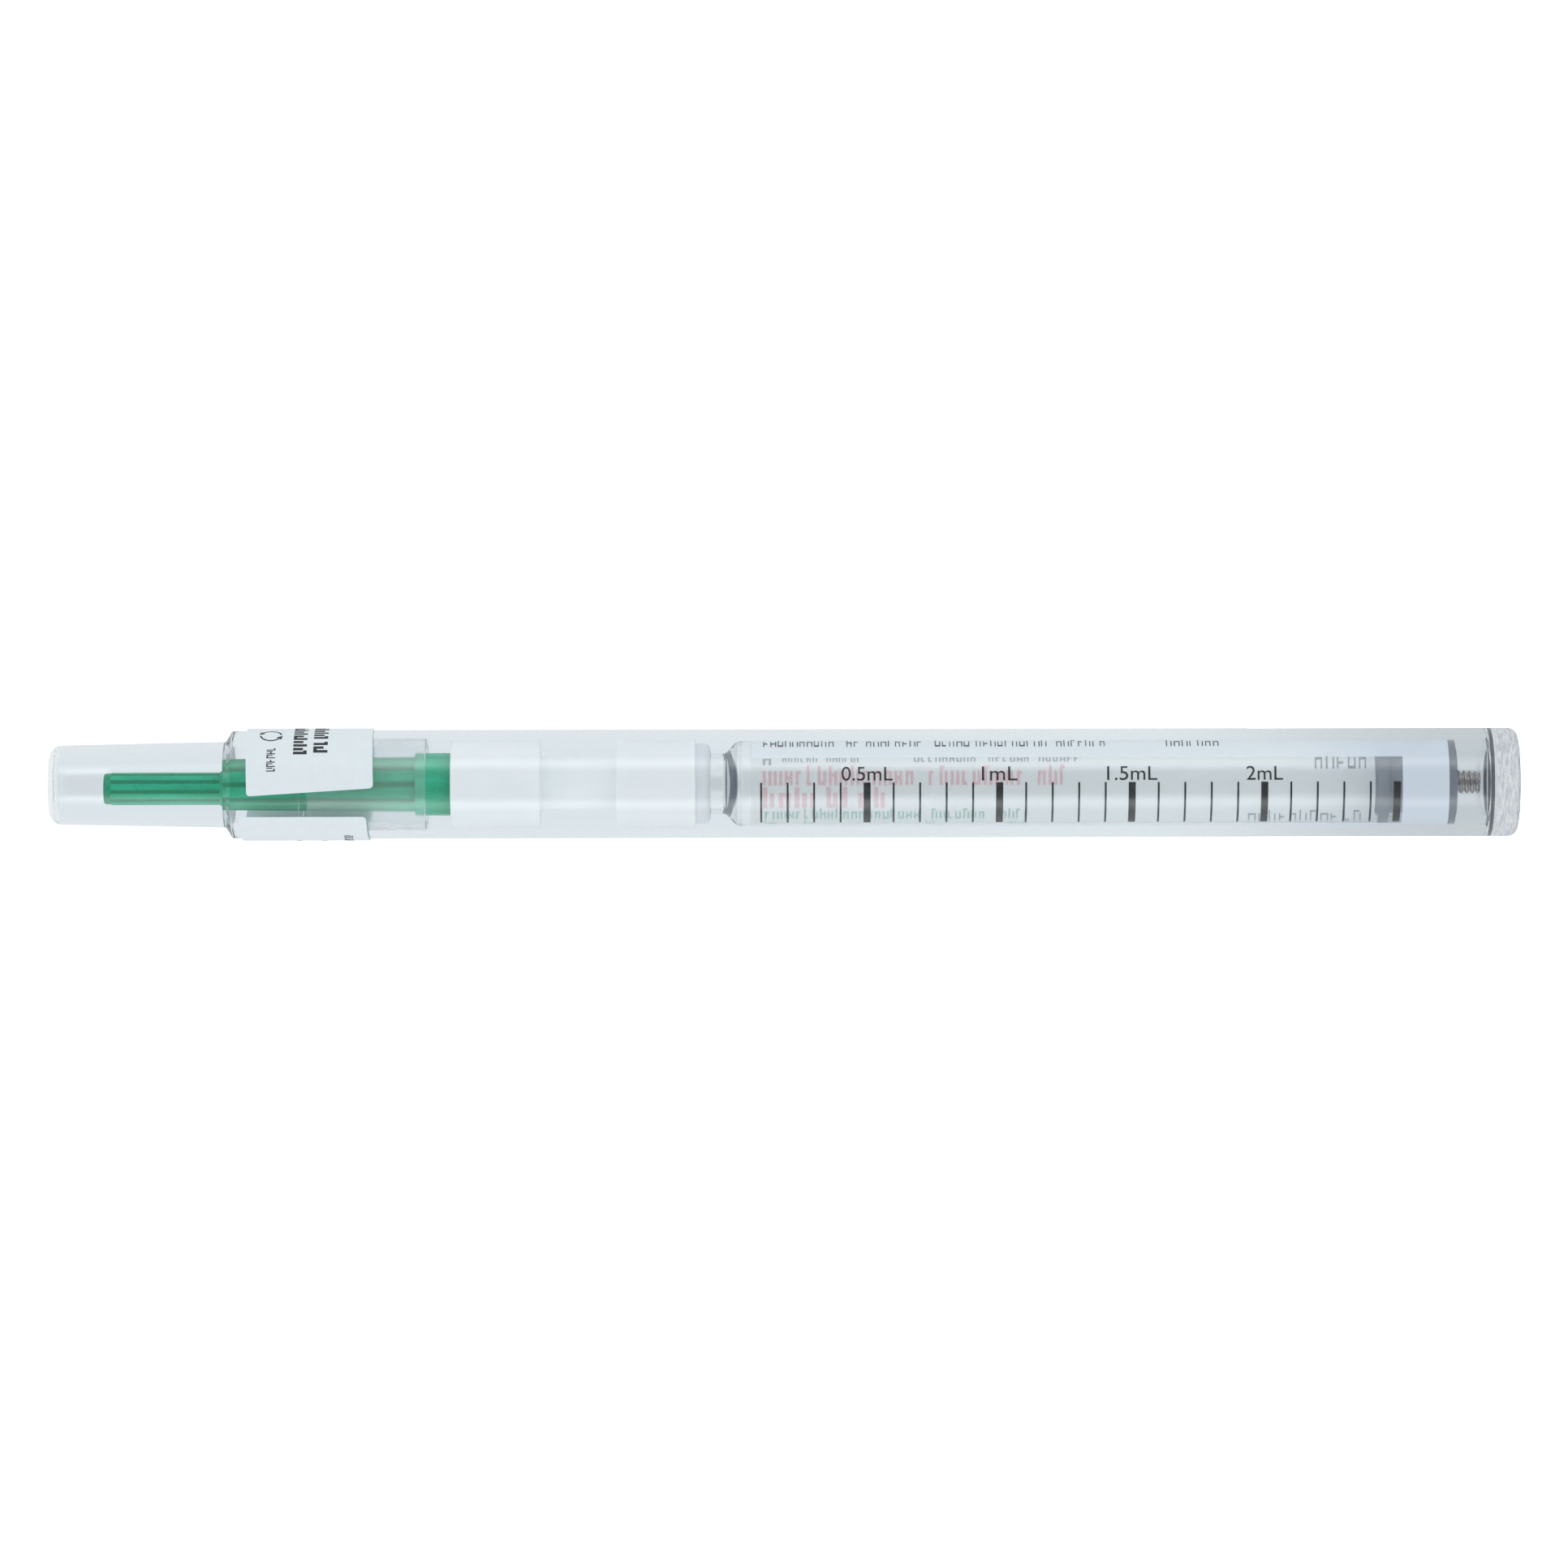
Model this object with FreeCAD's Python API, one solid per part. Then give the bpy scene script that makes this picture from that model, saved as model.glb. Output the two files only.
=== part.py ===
import FreeCAD, Part
import math
import os

# Prefilled syringe cartridge sealed in its clear storage tube.
# It stands on the tube's closed end, +Z runs up the axis to the cap, and the
# scale on the barrel faces -Y. All sizes are in millimetres.

# Glass barrel, which the other widths follow
BORE_R = 3.43
GLASS_WALL = 0.90
BARREL_LENGTH = 77.25
SHOULDER_HEIGHT = 1.1
SHOULDER_ROUND = 1.0
SHOULDER_INNER_ROUND = 0.8
SHOULDER_INNER_DROP = 0.32
NECK_R = 3.10
NECK_BORE_R = 1.75
NECK_LENGTH = 1.80
NECK_ROUND = 0.70
LIP_INSET = 0.50
LIP_HEIGHT = 2.90
LIP_ROUND = 0.20
LIP_REAR_ROUND = 0.45
RIM_ROUND = 0.38

# Printed film on the barrel
LABEL_THICKNESS = 0.05
LABEL_LAY = 0.01
LABEL_REAR_MARGIN = 4.65
LABEL_FRONT_MARGIN = 1.55

# Rubber disc and aluminium crimp on the neck
DISC_THICKNESS = 1.60
FERRULE_WALL = 0.25
FERRULE_LAY = 0.02
FERRULE_ROUND = 0.42
FERRULE_INNER_ROUND = 0.15
FERRULE_ROLL_ROUND = 0.70
FERRULE_HOLE_R = 1.75
FERRULE_TUCK = 0.55

# Stopper and its threaded stud
PISTON_LENGTH = 8.35
PISTON_CLEARANCE = 0.02
PISTON_GROOVE_DEPTH = 0.32
PISTON_RIB_COUNT = 3
PISTON_RIB_HEIGHT = 1.25
PISTON_RIB_ROUND = 0.25
PISTON_NOSE_RISE = 0.70
STUD_R = 1.20
STUD_SHOWN = 2.55
STUD_END_GAP = 1.20
STUD_CHAMFER = 0.25
STUD_BURIED = 2.60
STUD_HEAD_R = 2.00
STUD_HEAD_HEIGHT = 0.80
STUD_LAY = 0.01

# Liquid
LIQUID_LAY = 0.01
LIQUID_PISTON_GAP = 0.03

# White luer hub: rear collar over the crimp, waist and locking collar
HUB_SOCKET_CLEARANCE = 0.05
HUB_SOCKET_WALL = 0.43
HUB_TRAVEL = 3.30
HUB_STOP_GAP = 0.06
FERRULE_SHOWN = 1.52
HUB_WEB = 1.20
WAIST_R = 2.72
WAIST_LENGTH = 7.80
LOCK_WEB = 1.00
LOCK_DEPTH = 8.10
LOCK_WALL = 0.60
HUB_EDGE_ROUND = 0.20
WAIST_ROUND = 0.35

# Lock thread inside the front collar
THREAD_DEPTH = 0.48
THREAD_STARTS = 2
THREAD_LEAD = 5.00
THREAD_TURNS = 1.10
THREAD_FIRST_Z = 1.60
THREAD_CREST_WIDTH = 0.35
THREAD_ROOT_WIDTH = 0.90
THREAD_BITE = 0.15

# Male luer cone, six per cent taper
LUER_TIP_R = 1.98
LUER_TAPER = 0.03
LUER_PROJECTION = 2.10
LUER_BORE_R = 0.90
LUER_TIP_ROUND = 0.20

# Steel cannula in the hub
CANNULA_R = 0.45
CANNULA_WALL = 0.15
CANNULA_LAY = 0.01
CANNULA_HELD = 4.80
CANNULA_TIP_GAP = 0.30
CANNULA_BEVEL_DEG = 28.0

# Green tip cover
COVER_THREAD_GAP = 0.30
COVER_SEAT_GAP = 0.10
COVER_COLLAR_SHOWN = 3.65
COVER_BODY_R = 2.78
COVER_BODY_TOP_R = 2.62
COVER_BODY_LENGTH = 19.55
COVER_BODY_ROUND = 0.50
COVER_BODY_FLUTE_DEPTH = 0.12
COVER_STEM_R = 1.66
COVER_STEM_LENGTH = 11.60
COVER_STEM_OFFSET = 0.40
COVER_STEM_FLUTE_DEPTH = 0.14
COVER_NECK_RING_R = 1.78
COVER_NECK_RING_HEIGHT = 0.45
COVER_TIP_R = 1.58
COVER_TIP_HEIGHT = 0.75
COVER_TIP_ROUND = 0.22
COVER_FLUTES = 10
COVER_FLUTE_SHARE = 0.50
COVER_FLUTE_TURN_DEG = 10.5
COVER_LUG_WIDTH = 1.20
COVER_LUG_HEIGHT = 0.80
COVER_LUG_WALL_GAP = 0.12
COVER_CONE_GAP = 0.03
COVER_SOCKET_ROOM = 1.20

# Storage tube
TUBE_FLOOR = 2.60
TUBE_CLEARANCE = 0.17
TUBE_WALL = 0.80
TUBE_FOOT_ROUND = 0.95
TUBE_FLOOR_ROUND = 0.80
TUBE_RIM_ROUND = 0.15

# Cap: plug skirt, land, grip body, shoulder and nose
CAP_SKIRT_CLEARANCE = 0.05
CAP_SKIRT_WALL = 0.72
CAP_SKIRT_LENGTH = 12.05
CAP_SKIRT_ROUND = 0.20
CAP_PLAY = 2.50
CAP_LAND_STEP = 0.35
CAP_LAND_HEIGHT = 0.80
CAP_GRIP_STEP = 0.05
CAP_GRIP_LENGTH = 7.05
CAP_GRIP_ROUND = 0.15
CAP_SHOULDER_HEIGHT = 0.72
CAP_SHOULDER_ROUND = 0.28
CAP_NOSE_ROOT_R = 4.38
CAP_NOSE_TIP_R = 4.02
CAP_NOSE_ROUND = 1.20
CAP_NOSE_WALL = 0.72
CAP_END_WALL = 0.80
CAP_TIP_ROOM = 4.75

# Seal wrapped slightly askew over the joint, with a slanted gap at the front
SEAL_THICKNESS = 0.17
SEAL_LAY = 0.01
SEAL_BELOW_JOINT = 6.81
SEAL_ABOVE_JOINT = 6.08
SEAL_SKEW = 0.85
SEAL_TURNS = 0.99
SEAL_START_DEG = 250.0
SEAL_GAP_LOW = 3.30
SEAL_GAP_HIGH_TOP = 1.19
SEAL_GAP_HIGH_BOTTOM = 0.39
SEAL_CORNER_ROUND = 0.38

# Widths that follow from the sizes above
glass_r = BORE_R + GLASS_WALL
lip_r = glass_r - LIP_INSET
ferrule_inner_r = lip_r + FERRULE_LAY
ferrule_r = ferrule_inner_r + FERRULE_WALL
socket_r = ferrule_r + HUB_SOCKET_CLEARANCE
hub_r = socket_r + HUB_SOCKET_WALL
lock_bore_r = hub_r - LOCK_WALL
thread_crest_r = lock_bore_r - THREAD_DEPTH
cover_collar_r = thread_crest_r - COVER_THREAD_GAP
tube_bore_r = max(hub_r, glass_r) + TUBE_CLEARANCE
tube_r = tube_bore_r + TUBE_WALL
skirt_r = tube_bore_r - CAP_SKIRT_CLEARANCE
skirt_bore_r = skirt_r - CAP_SKIRT_WALL
grip_r = tube_r - CAP_GRIP_STEP
seal_inner_r = tube_r + SEAL_LAY

# Heights up the axis, from the foot of the tube to the tip of the cap
glass_rear = TUBE_FLOOR
stud_end = glass_rear + STUD_END_GAP
piston_rear = stud_end + STUD_SHOWN
piston_front = piston_rear + PISTON_LENGTH
shoulder_z = glass_rear + BARREL_LENGTH
neck_z = shoulder_z + SHOULDER_HEIGHT
lip_z = neck_z + NECK_LENGTH
lip_top = lip_z + LIP_HEIGHT
disc_top = lip_top + DISC_THICKNESS
ferrule_rear = lip_z - FERRULE_LAY - FERRULE_WALL
ferrule_top = disc_top + FERRULE_LAY + FERRULE_WALL
hub_rear = ferrule_rear + FERRULE_SHOWN
socket_floor = ferrule_top + HUB_TRAVEL + HUB_STOP_GAP
waist_z = socket_floor + HUB_WEB
waist_top = waist_z + WAIST_LENGTH
lock_floor = waist_top + LOCK_WEB
lock_top = lock_floor + LOCK_DEPTH
luer_tip = lock_top + LUER_PROJECTION
cannula_tip = disc_top + CANNULA_TIP_GAP
cannula_top = socket_floor + CANNULA_HELD
cover_rear = lock_floor + COVER_SEAT_GAP
cover_collar_top = lock_top + COVER_COLLAR_SHOWN
cover_body_top = cover_collar_top + COVER_BODY_LENGTH
cover_stem_top = cover_body_top + COVER_STEM_LENGTH
cover_tip = cover_stem_top + COVER_TIP_HEIGHT
skirt_end = lock_top + CAP_PLAY
joint_z = skirt_end + CAP_SKIRT_LENGTH
grip_z = joint_z + CAP_LAND_HEIGHT
grip_top = grip_z + CAP_GRIP_LENGTH
nose_z = grip_top + CAP_SHOULDER_HEIGHT
nose_floor = cover_tip + CAP_TIP_ROOM
cap_top = nose_floor + CAP_END_WALL

ORIGIN = FreeCAD.Vector(0, 0, 0)
UP = FreeCAD.Vector(0, 0, 1)


# A closed outline of (radius, height, rounding) corners, as a face beside the axis
def outline(corners):
    points = [FreeCAD.Vector(corner[0], 0, corner[1]) for corner in corners]
    rounds = [corner[2] if len(corner) > 2 else 0 for corner in corners]
    stops = []
    for index, point in enumerate(points):
        before = points[index - 1]
        after = points[(index + 1) % len(points)]
        stops.append(corner_stops(before, point, after, rounds[index]))
    edges = []
    for index, stop in enumerate(stops):
        if len(stop) == 3:
            edges.append(Part.Arc(*stop).toShape())
        leaves = stop[-1]
        arrives = stops[(index + 1) % len(stops)][0]
        if leaves.distanceToPoint(arrives) > 1e-6:
            edges.append(Part.LineSegment(leaves, arrives).toShape())
    return Part.Face(Part.Wire(edges))


# One sharp corner, or the start, middle and end of the arc that rounds it
def corner_stops(before, point, after, radius):
    if radius <= 0:
        return [point]
    into = (before - point).normalize()
    away = (after - point).normalize()
    half_angle = into.getAngle(away) / 2
    reach = radius / math.tan(half_angle)
    bisector = (into + away).normalize()
    centre = point + bisector * (radius / math.sin(half_angle))
    return [point + into * reach, centre - bisector * radius, point + away * reach]


def turned(corners):
    return outline(corners).revolve(ORIGIN, UP, 360)


# A bar of the given section wound round the axis
def wound(section, radius, lead, turns, start_z, start_deg):
    path = Part.makeHelix(lead, lead * turns, radius)
    points = [FreeCAD.Vector(r, 0, z) for r, z in section]
    profile = Part.makePolygon(points + points[:1])
    bar = Part.Wire(path.Edges).makePipeShell([profile], True, True)
    bar.rotate(ORIGIN, UP, start_deg)
    bar.translate(UP * start_z)
    return bar


# A point on the circle of this radius, its angle taken from the front towards -X
def around(radius, angle_deg, height):
    angle = math.radians(angle_deg)
    return FreeCAD.Vector(-radius * math.sin(angle), -radius * math.cos(angle), height)


# Evenly spaced round grooves cut along a stem that may taper
def fluted(stem, low_r, low_z, high_r, high_z, depth, turn_deg, shift):
    pitch = 2 * math.pi * low_r / COVER_FLUTES
    half_width = pitch * COVER_FLUTE_SHARE / 2
    cutter_r = (half_width ** 2 + depth ** 2) / (2 * depth)
    for index in range(COVER_FLUTES):
        angle = turn_deg + index * 360 / COVER_FLUTES
        low = around(low_r + cutter_r - depth, angle, low_z) + shift
        high = around(high_r + cutter_r - depth, angle, high_z) + shift
        cutter = Part.makeCylinder(cutter_r, low.distanceToPoint(high), low, high - low)
        stem = stem.cut(cutter)
    return stem


def glass_barrel():
    slope = SHOULDER_HEIGHT / (glass_r - NECK_R)
    inner_start = shoulder_z - SHOULDER_INNER_DROP
    inner_end = inner_start + slope * (BORE_R - NECK_BORE_R)
    return turned([
        (BORE_R, glass_rear, RIM_ROUND),
        (glass_r, glass_rear, RIM_ROUND),
        (glass_r, shoulder_z, SHOULDER_ROUND),
        (NECK_R, neck_z, NECK_ROUND),
        (NECK_R, lip_z),
        (lip_r, lip_z, LIP_REAR_ROUND),
        (lip_r, lip_top, LIP_ROUND),
        (NECK_BORE_R, lip_top, LIP_ROUND),
        (NECK_BORE_R, inner_end, NECK_ROUND),
        (BORE_R, inner_start, SHOULDER_INNER_ROUND),
    ])


def solution():
    slope = SHOULDER_HEIGHT / (glass_r - NECK_R)
    wide_r = BORE_R - LIQUID_LAY
    narrow_r = NECK_BORE_R - LIQUID_LAY
    rear = piston_front + LIQUID_PISTON_GAP
    turn_z = shoulder_z - SHOULDER_INNER_DROP - LIQUID_LAY
    neck_start = turn_z + slope * (wide_r - narrow_r)
    return turned([
        (0, rear),
        (wide_r, rear),
        (wide_r, turn_z, SHOULDER_INNER_ROUND),
        (narrow_r, neck_start, NECK_ROUND),
        (narrow_r, lip_top - LIQUID_LAY),
        (0, lip_top - LIQUID_LAY),
    ])


def barrel_label():
    inner_r = glass_r + LABEL_LAY
    outer_r = inner_r + LABEL_THICKNESS
    rear = glass_rear + LABEL_REAR_MARGIN
    front = shoulder_z - LABEL_FRONT_MARGIN
    return turned([(inner_r, rear), (outer_r, rear), (outer_r, front), (inner_r, front)])


def diaphragm():
    return turned([
        (0, lip_top),
        (lip_r, lip_top),
        (lip_r, disc_top, FERRULE_INNER_ROUND),
        (0, disc_top),
    ])


# Cup over the disc and the lip, its rear edge rolled in under the lip
def crimp_ferrule():
    return turned([
        (FERRULE_HOLE_R, ferrule_top),
        (ferrule_r, ferrule_top, FERRULE_ROUND),
        (ferrule_r, ferrule_rear, FERRULE_ROLL_ROUND),
        (ferrule_inner_r - FERRULE_TUCK, ferrule_rear),
        (ferrule_inner_r - FERRULE_TUCK, ferrule_rear + FERRULE_WALL),
        (ferrule_inner_r, ferrule_rear + FERRULE_WALL, FERRULE_ROLL_ROUND - FERRULE_WALL),
        (ferrule_inner_r, ferrule_top - FERRULE_WALL, FERRULE_INNER_ROUND),
        (FERRULE_HOLE_R, ferrule_top - FERRULE_WALL),
    ])


# Ribbed stopper with a flat cone in front and a pocket that grips the stud
def piston():
    rib_r = BORE_R - PISTON_CLEARANCE
    groove_r = rib_r - PISTON_GROOVE_DEPTH
    body_front = piston_front - PISTON_NOSE_RISE
    pitch = (body_front - piston_rear - PISTON_RIB_HEIGHT) / (PISTON_RIB_COUNT - 1)
    side = []
    for index in range(PISTON_RIB_COUNT):
        low = piston_rear + index * pitch
        high = low + PISTON_RIB_HEIGHT
        if index > 0:
            side.append((groove_r, low))
        side.append((rib_r, low, PISTON_RIB_ROUND))
        side.append((rib_r, high, PISTON_RIB_ROUND))
        if index < PISTON_RIB_COUNT - 1:
            side.append((groove_r, high))
    pocket_r = STUD_R + STUD_LAY
    head_r = STUD_HEAD_R + STUD_LAY
    head_z = piston_rear + STUD_BURIED - STUD_HEAD_HEIGHT
    pocket = [
        (0, piston_rear + STUD_BURIED + STUD_LAY),
        (head_r, piston_rear + STUD_BURIED + STUD_LAY),
        (head_r, head_z - STUD_LAY),
        (pocket_r, head_z - STUD_LAY),
        (pocket_r, piston_rear),
    ]
    return turned(pocket + side + [(0, piston_front)])


# Core of the stud: plain shank for the thread, and a head held in the rubber
def piston_stud():
    head_z = piston_rear + STUD_BURIED - STUD_HEAD_HEIGHT
    return turned([
        (0, stud_end),
        (STUD_R - STUD_CHAMFER, stud_end),
        (STUD_R, stud_end + STUD_CHAMFER),
        (STUD_R, head_z),
        (STUD_HEAD_R, head_z),
        (STUD_HEAD_R, piston_rear + STUD_BURIED),
        (0, piston_rear + STUD_BURIED),
    ])


# One moulding: socket over the crimp, waist, locking collar and male luer cone
def luer_hub():
    cone_root_r = LUER_TIP_R + LUER_TAPER * (luer_tip - lock_floor)
    grip_hole_r = CANNULA_R + CANNULA_LAY
    hub = turned([
        (grip_hole_r, socket_floor),
        (socket_r, socket_floor),
        (socket_r, hub_rear),
        (hub_r, hub_rear, HUB_EDGE_ROUND),
        (hub_r, waist_z, HUB_EDGE_ROUND),
        (WAIST_R, waist_z, WAIST_ROUND),
        (WAIST_R, waist_top, WAIST_ROUND),
        (hub_r, waist_top, HUB_EDGE_ROUND),
        (hub_r, lock_top, HUB_EDGE_ROUND),
        (lock_bore_r, lock_top),
        (lock_bore_r, lock_floor),
        (cone_root_r, lock_floor),
        (LUER_TIP_R, luer_tip, LUER_TIP_ROUND),
        (LUER_BORE_R, luer_tip),
        (LUER_BORE_R, cannula_top + CANNULA_LAY),
        (grip_hole_r, cannula_top + CANNULA_LAY),
    ])
    for start in range(THREAD_STARTS):
        hub = hub.fuse(lock_ridge(start * 360 / THREAD_STARTS))
    return hub.removeSplitter()


# One ridge of the lock thread, rooted a little way into the collar's wall
def lock_ridge(start_deg):
    root_r = lock_bore_r + THREAD_BITE
    section = [
        (thread_crest_r, -THREAD_CREST_WIDTH / 2),
        (root_r, -THREAD_ROOT_WIDTH / 2),
        (root_r, THREAD_ROOT_WIDTH / 2),
        (thread_crest_r, THREAD_CREST_WIDTH / 2),
    ]
    first_z = lock_floor + THREAD_FIRST_Z
    return wound(section, lock_bore_r, THREAD_LEAD, THREAD_TURNS, first_z, start_deg)


# Thin tube held in the hub, its free end ground to a slanted point
def piercing_cannula():
    bore_r = CANNULA_R - CANNULA_WALL
    length = cannula_top - cannula_tip
    foot = UP * cannula_tip
    tube = Part.makeCylinder(CANNULA_R, length, foot)
    tube = tube.cut(Part.makeCylinder(bore_r, length, foot))
    bevel_height = 2 * CANNULA_R / math.tan(math.radians(CANNULA_BEVEL_DEG))
    waste = Part.Face(Part.makePolygon([
        FreeCAD.Vector(-CANNULA_R, 0, cannula_tip),
        FreeCAD.Vector(CANNULA_R, 0, cannula_tip - bevel_height),
        FreeCAD.Vector(CANNULA_R, 0, cannula_tip + bevel_height),
        FreeCAD.Vector(-CANNULA_R, 0, cannula_tip),
    ]))
    waste.translate(FreeCAD.Vector(0, -CANNULA_R, 0))
    return tube.cut(waste.extrude(FreeCAD.Vector(0, 2 * CANNULA_R, 0)))


# One moulding: collar with a luer socket and lock lugs, fluted body and fluted stem
def tip_cover():
    socket_rear_r = LUER_TIP_R + LUER_TAPER * (luer_tip - cover_rear) + COVER_CONE_GAP
    socket_front_r = LUER_TIP_R + COVER_CONE_GAP
    socket_top = luer_tip + COVER_SOCKET_ROOM
    body = turned([
        (socket_rear_r, cover_rear),
        (cover_collar_r, cover_rear),
        (cover_collar_r, cover_collar_top),
        (COVER_BODY_R, cover_collar_top),
        (COVER_BODY_TOP_R, cover_body_top, COVER_BODY_ROUND),
        (0, cover_body_top),
        (0, socket_top),
        (socket_front_r, socket_top),
        (socket_front_r, luer_tip),
    ])
    body = fluted(body, COVER_BODY_R, cover_collar_top, COVER_BODY_TOP_R, cover_body_top,
                  COVER_BODY_FLUTE_DEPTH, 0, ORIGIN)
    body = body.fuse(cover_stem())
    for side in (0, 180):
        body = body.fuse(lock_lug(side))
    return body.removeSplitter()


# The slender end of the cover, which stands a little off the axis
def cover_stem():
    shift = FreeCAD.Vector(-COVER_STEM_OFFSET, 0, 0)
    ring_top = cover_body_top + COVER_NECK_RING_HEIGHT
    stem = turned([
        (0, cover_body_top),
        (COVER_STEM_R, cover_body_top),
        (COVER_STEM_R, cover_stem_top),
        (0, cover_stem_top),
    ])
    stem = fluted(stem, COVER_STEM_R, ring_top, COVER_STEM_R, cover_stem_top,
                  COVER_STEM_FLUTE_DEPTH, COVER_FLUTE_TURN_DEG, ORIGIN)
    ring = Part.makeCylinder(COVER_NECK_RING_R, COVER_NECK_RING_HEIGHT, UP * cover_body_top)
    tip = turned([
        (0, cover_stem_top),
        (COVER_TIP_R, cover_stem_top),
        (COVER_TIP_R, cover_tip, COVER_TIP_ROUND),
        (0, cover_tip),
    ])
    stem = stem.fuse([ring, tip])
    stem.translate(shift)
    return stem


# A lug that sits in the groove between two ridges of the lock thread
def lock_lug(side_deg):
    groove_z = lock_floor + THREAD_FIRST_Z + THREAD_LEAD / THREAD_STARTS / 2
    reach = lock_bore_r - COVER_LUG_WALL_GAP
    lug = Part.makeCylinder(reach, COVER_LUG_HEIGHT, UP * (groove_z - COVER_LUG_HEIGHT / 2))
    root_r = cover_collar_r - COVER_LUG_HEIGHT / 2
    window = Part.makeBox(reach - root_r, COVER_LUG_WIDTH, COVER_LUG_HEIGHT,
                          FreeCAD.Vector(root_r, -COVER_LUG_WIDTH / 2, groove_z - COVER_LUG_HEIGHT / 2))
    lug = lug.common(window)
    lug.rotate(ORIGIN, UP, side_deg)
    return lug


def package_tube():
    return turned([
        (0, 0),
        (tube_r, 0, TUBE_FOOT_ROUND),
        (tube_r, joint_z, TUBE_RIM_ROUND),
        (tube_bore_r, joint_z, TUBE_RIM_ROUND),
        (tube_bore_r, TUBE_FLOOR, TUBE_FLOOR_ROUND),
        (0, TUBE_FLOOR),
    ])


# One moulding: the plug goes into the tube and the land rests on its rim
def package_cap():
    land_r = tube_r - CAP_LAND_STEP
    bore_root_r = CAP_NOSE_ROOT_R - CAP_NOSE_WALL
    bore_tip_r = CAP_NOSE_TIP_R - CAP_NOSE_WALL
    return turned([
        (0, cap_top),
        (CAP_NOSE_TIP_R, cap_top, CAP_NOSE_ROUND),
        (CAP_NOSE_ROOT_R, nose_z, CAP_SHOULDER_ROUND),
        (grip_r, grip_top, CAP_SHOULDER_ROUND),
        (grip_r, grip_z, CAP_GRIP_ROUND),
        (land_r, grip_z),
        (land_r, joint_z),
        (skirt_r, joint_z),
        (skirt_r, skirt_end, CAP_SKIRT_ROUND),
        (skirt_bore_r, skirt_end, CAP_SKIRT_ROUND),
        (skirt_bore_r, grip_top),
        (bore_root_r, nose_z - CAP_NOSE_WALL / 2, CAP_SHOULDER_ROUND),
        (bore_tip_r, nose_floor, CAP_NOSE_ROUND - CAP_NOSE_WALL),
        (0, nose_floor),
    ])


# The whole seal, wound a little askew, with its front gap and rounded corners
def seal_wrap():
    outer_r = seal_inner_r + SEAL_THICKNESS
    height = SEAL_BELOW_JOINT + SEAL_ABOVE_JOINT
    section = [(seal_inner_r, 0), (outer_r, 0), (outer_r, height), (seal_inner_r, height)]
    low_z = joint_z - SEAL_BELOW_JOINT
    wrap = wound(section, outer_r, SEAL_SKEW, SEAL_TURNS, low_z, SEAL_START_DEG)
    wrap = wrap.cut(seal_gap(low_z, low_z + height))
    near_rise = seal_rise(SEAL_GAP_HIGH_BOTTOM, 0)
    far_rise = seal_rise(SEAL_GAP_LOW, 1)
    for x, z, into_x, into_z in (
        (-SEAL_GAP_HIGH_BOTTOM, low_z + near_rise, 1, 1),
        (-SEAL_GAP_HIGH_TOP, low_z + near_rise + height, 1, -1),
        (-SEAL_GAP_LOW, low_z + far_rise, -1, 1),
        (-SEAL_GAP_LOW, low_z + far_rise + height, -1, -1),
    ):
        wrap = wrap.cut(corner_waste(x, z, into_x, into_z))
    return wrap


# How far the askew wrap has climbed where it reaches this distance below the front line
def seal_rise(drop, full_turns):
    front_deg = 270 - math.degrees(math.asin(drop / seal_inner_r))
    return SEAL_SKEW * (full_turns + (front_deg - SEAL_START_DEG) / 360)


# The wedge of air between the two ends of the seal
def seal_gap(low_z, high_z):
    slant = (SEAL_GAP_HIGH_TOP - SEAL_GAP_HIGH_BOTTOM) / (high_z - low_z)
    bottom = low_z - SEAL_SKEW
    top = high_z + 2 * SEAL_SKEW
    face = Part.Face(Part.makePolygon([
        FreeCAD.Vector(-SEAL_GAP_LOW, 0, bottom),
        FreeCAD.Vector(-SEAL_GAP_HIGH_BOTTOM - slant * (bottom - low_z), 0, bottom),
        FreeCAD.Vector(-SEAL_GAP_HIGH_BOTTOM - slant * (top - low_z), 0, top),
        FreeCAD.Vector(-SEAL_GAP_LOW, 0, top),
        FreeCAD.Vector(-SEAL_GAP_LOW, 0, bottom),
    ]))
    return face.extrude(FreeCAD.Vector(0, -2 * tube_r, 0))


# What is trimmed off outside the arc that rounds one corner of the seal
def corner_waste(x, z, into_x, into_z):
    size = SEAL_CORNER_ROUND
    depth = 2 * tube_r
    block = Part.makeBox(2 * size, depth, 2 * size, FreeCAD.Vector(x - size, -depth, z - size))
    centre = FreeCAD.Vector(x + into_x * size, -depth, z + into_z * size)
    return block.cut(Part.makeCylinder(size, depth, centre, FreeCAD.Vector(0, 1, 0)))


def seal_label_tube():
    below = Part.makeCylinder(2 * seal_inner_r, joint_z)
    return seal_wrap().common(below)


def seal_label_cap():
    above = Part.makeCylinder(2 * seal_inner_r, cap_top - joint_z, UP * joint_z)
    return seal_wrap().common(above)


PIECES = [
    package_tube, package_cap, seal_label_tube, seal_label_cap, tip_cover, luer_hub, piercing_cannula,
    crimp_ferrule, diaphragm, glass_barrel, barrel_label, solution, piston, piston_stud,
]

os.makedirs("parts", exist_ok=True)
for piece in PIECES:
    solid = piece()
    solid.exportStep("parts/" + piece.__name__ + ".step")
    print(piece.__name__, "%.1f cubic mm" % solid.Volume)
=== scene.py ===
# Looks for a prefilled syringe in its clear package tube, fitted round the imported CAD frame
import math
import random

import bmesh
import bpy
from mathutils import Matrix, Vector


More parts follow.
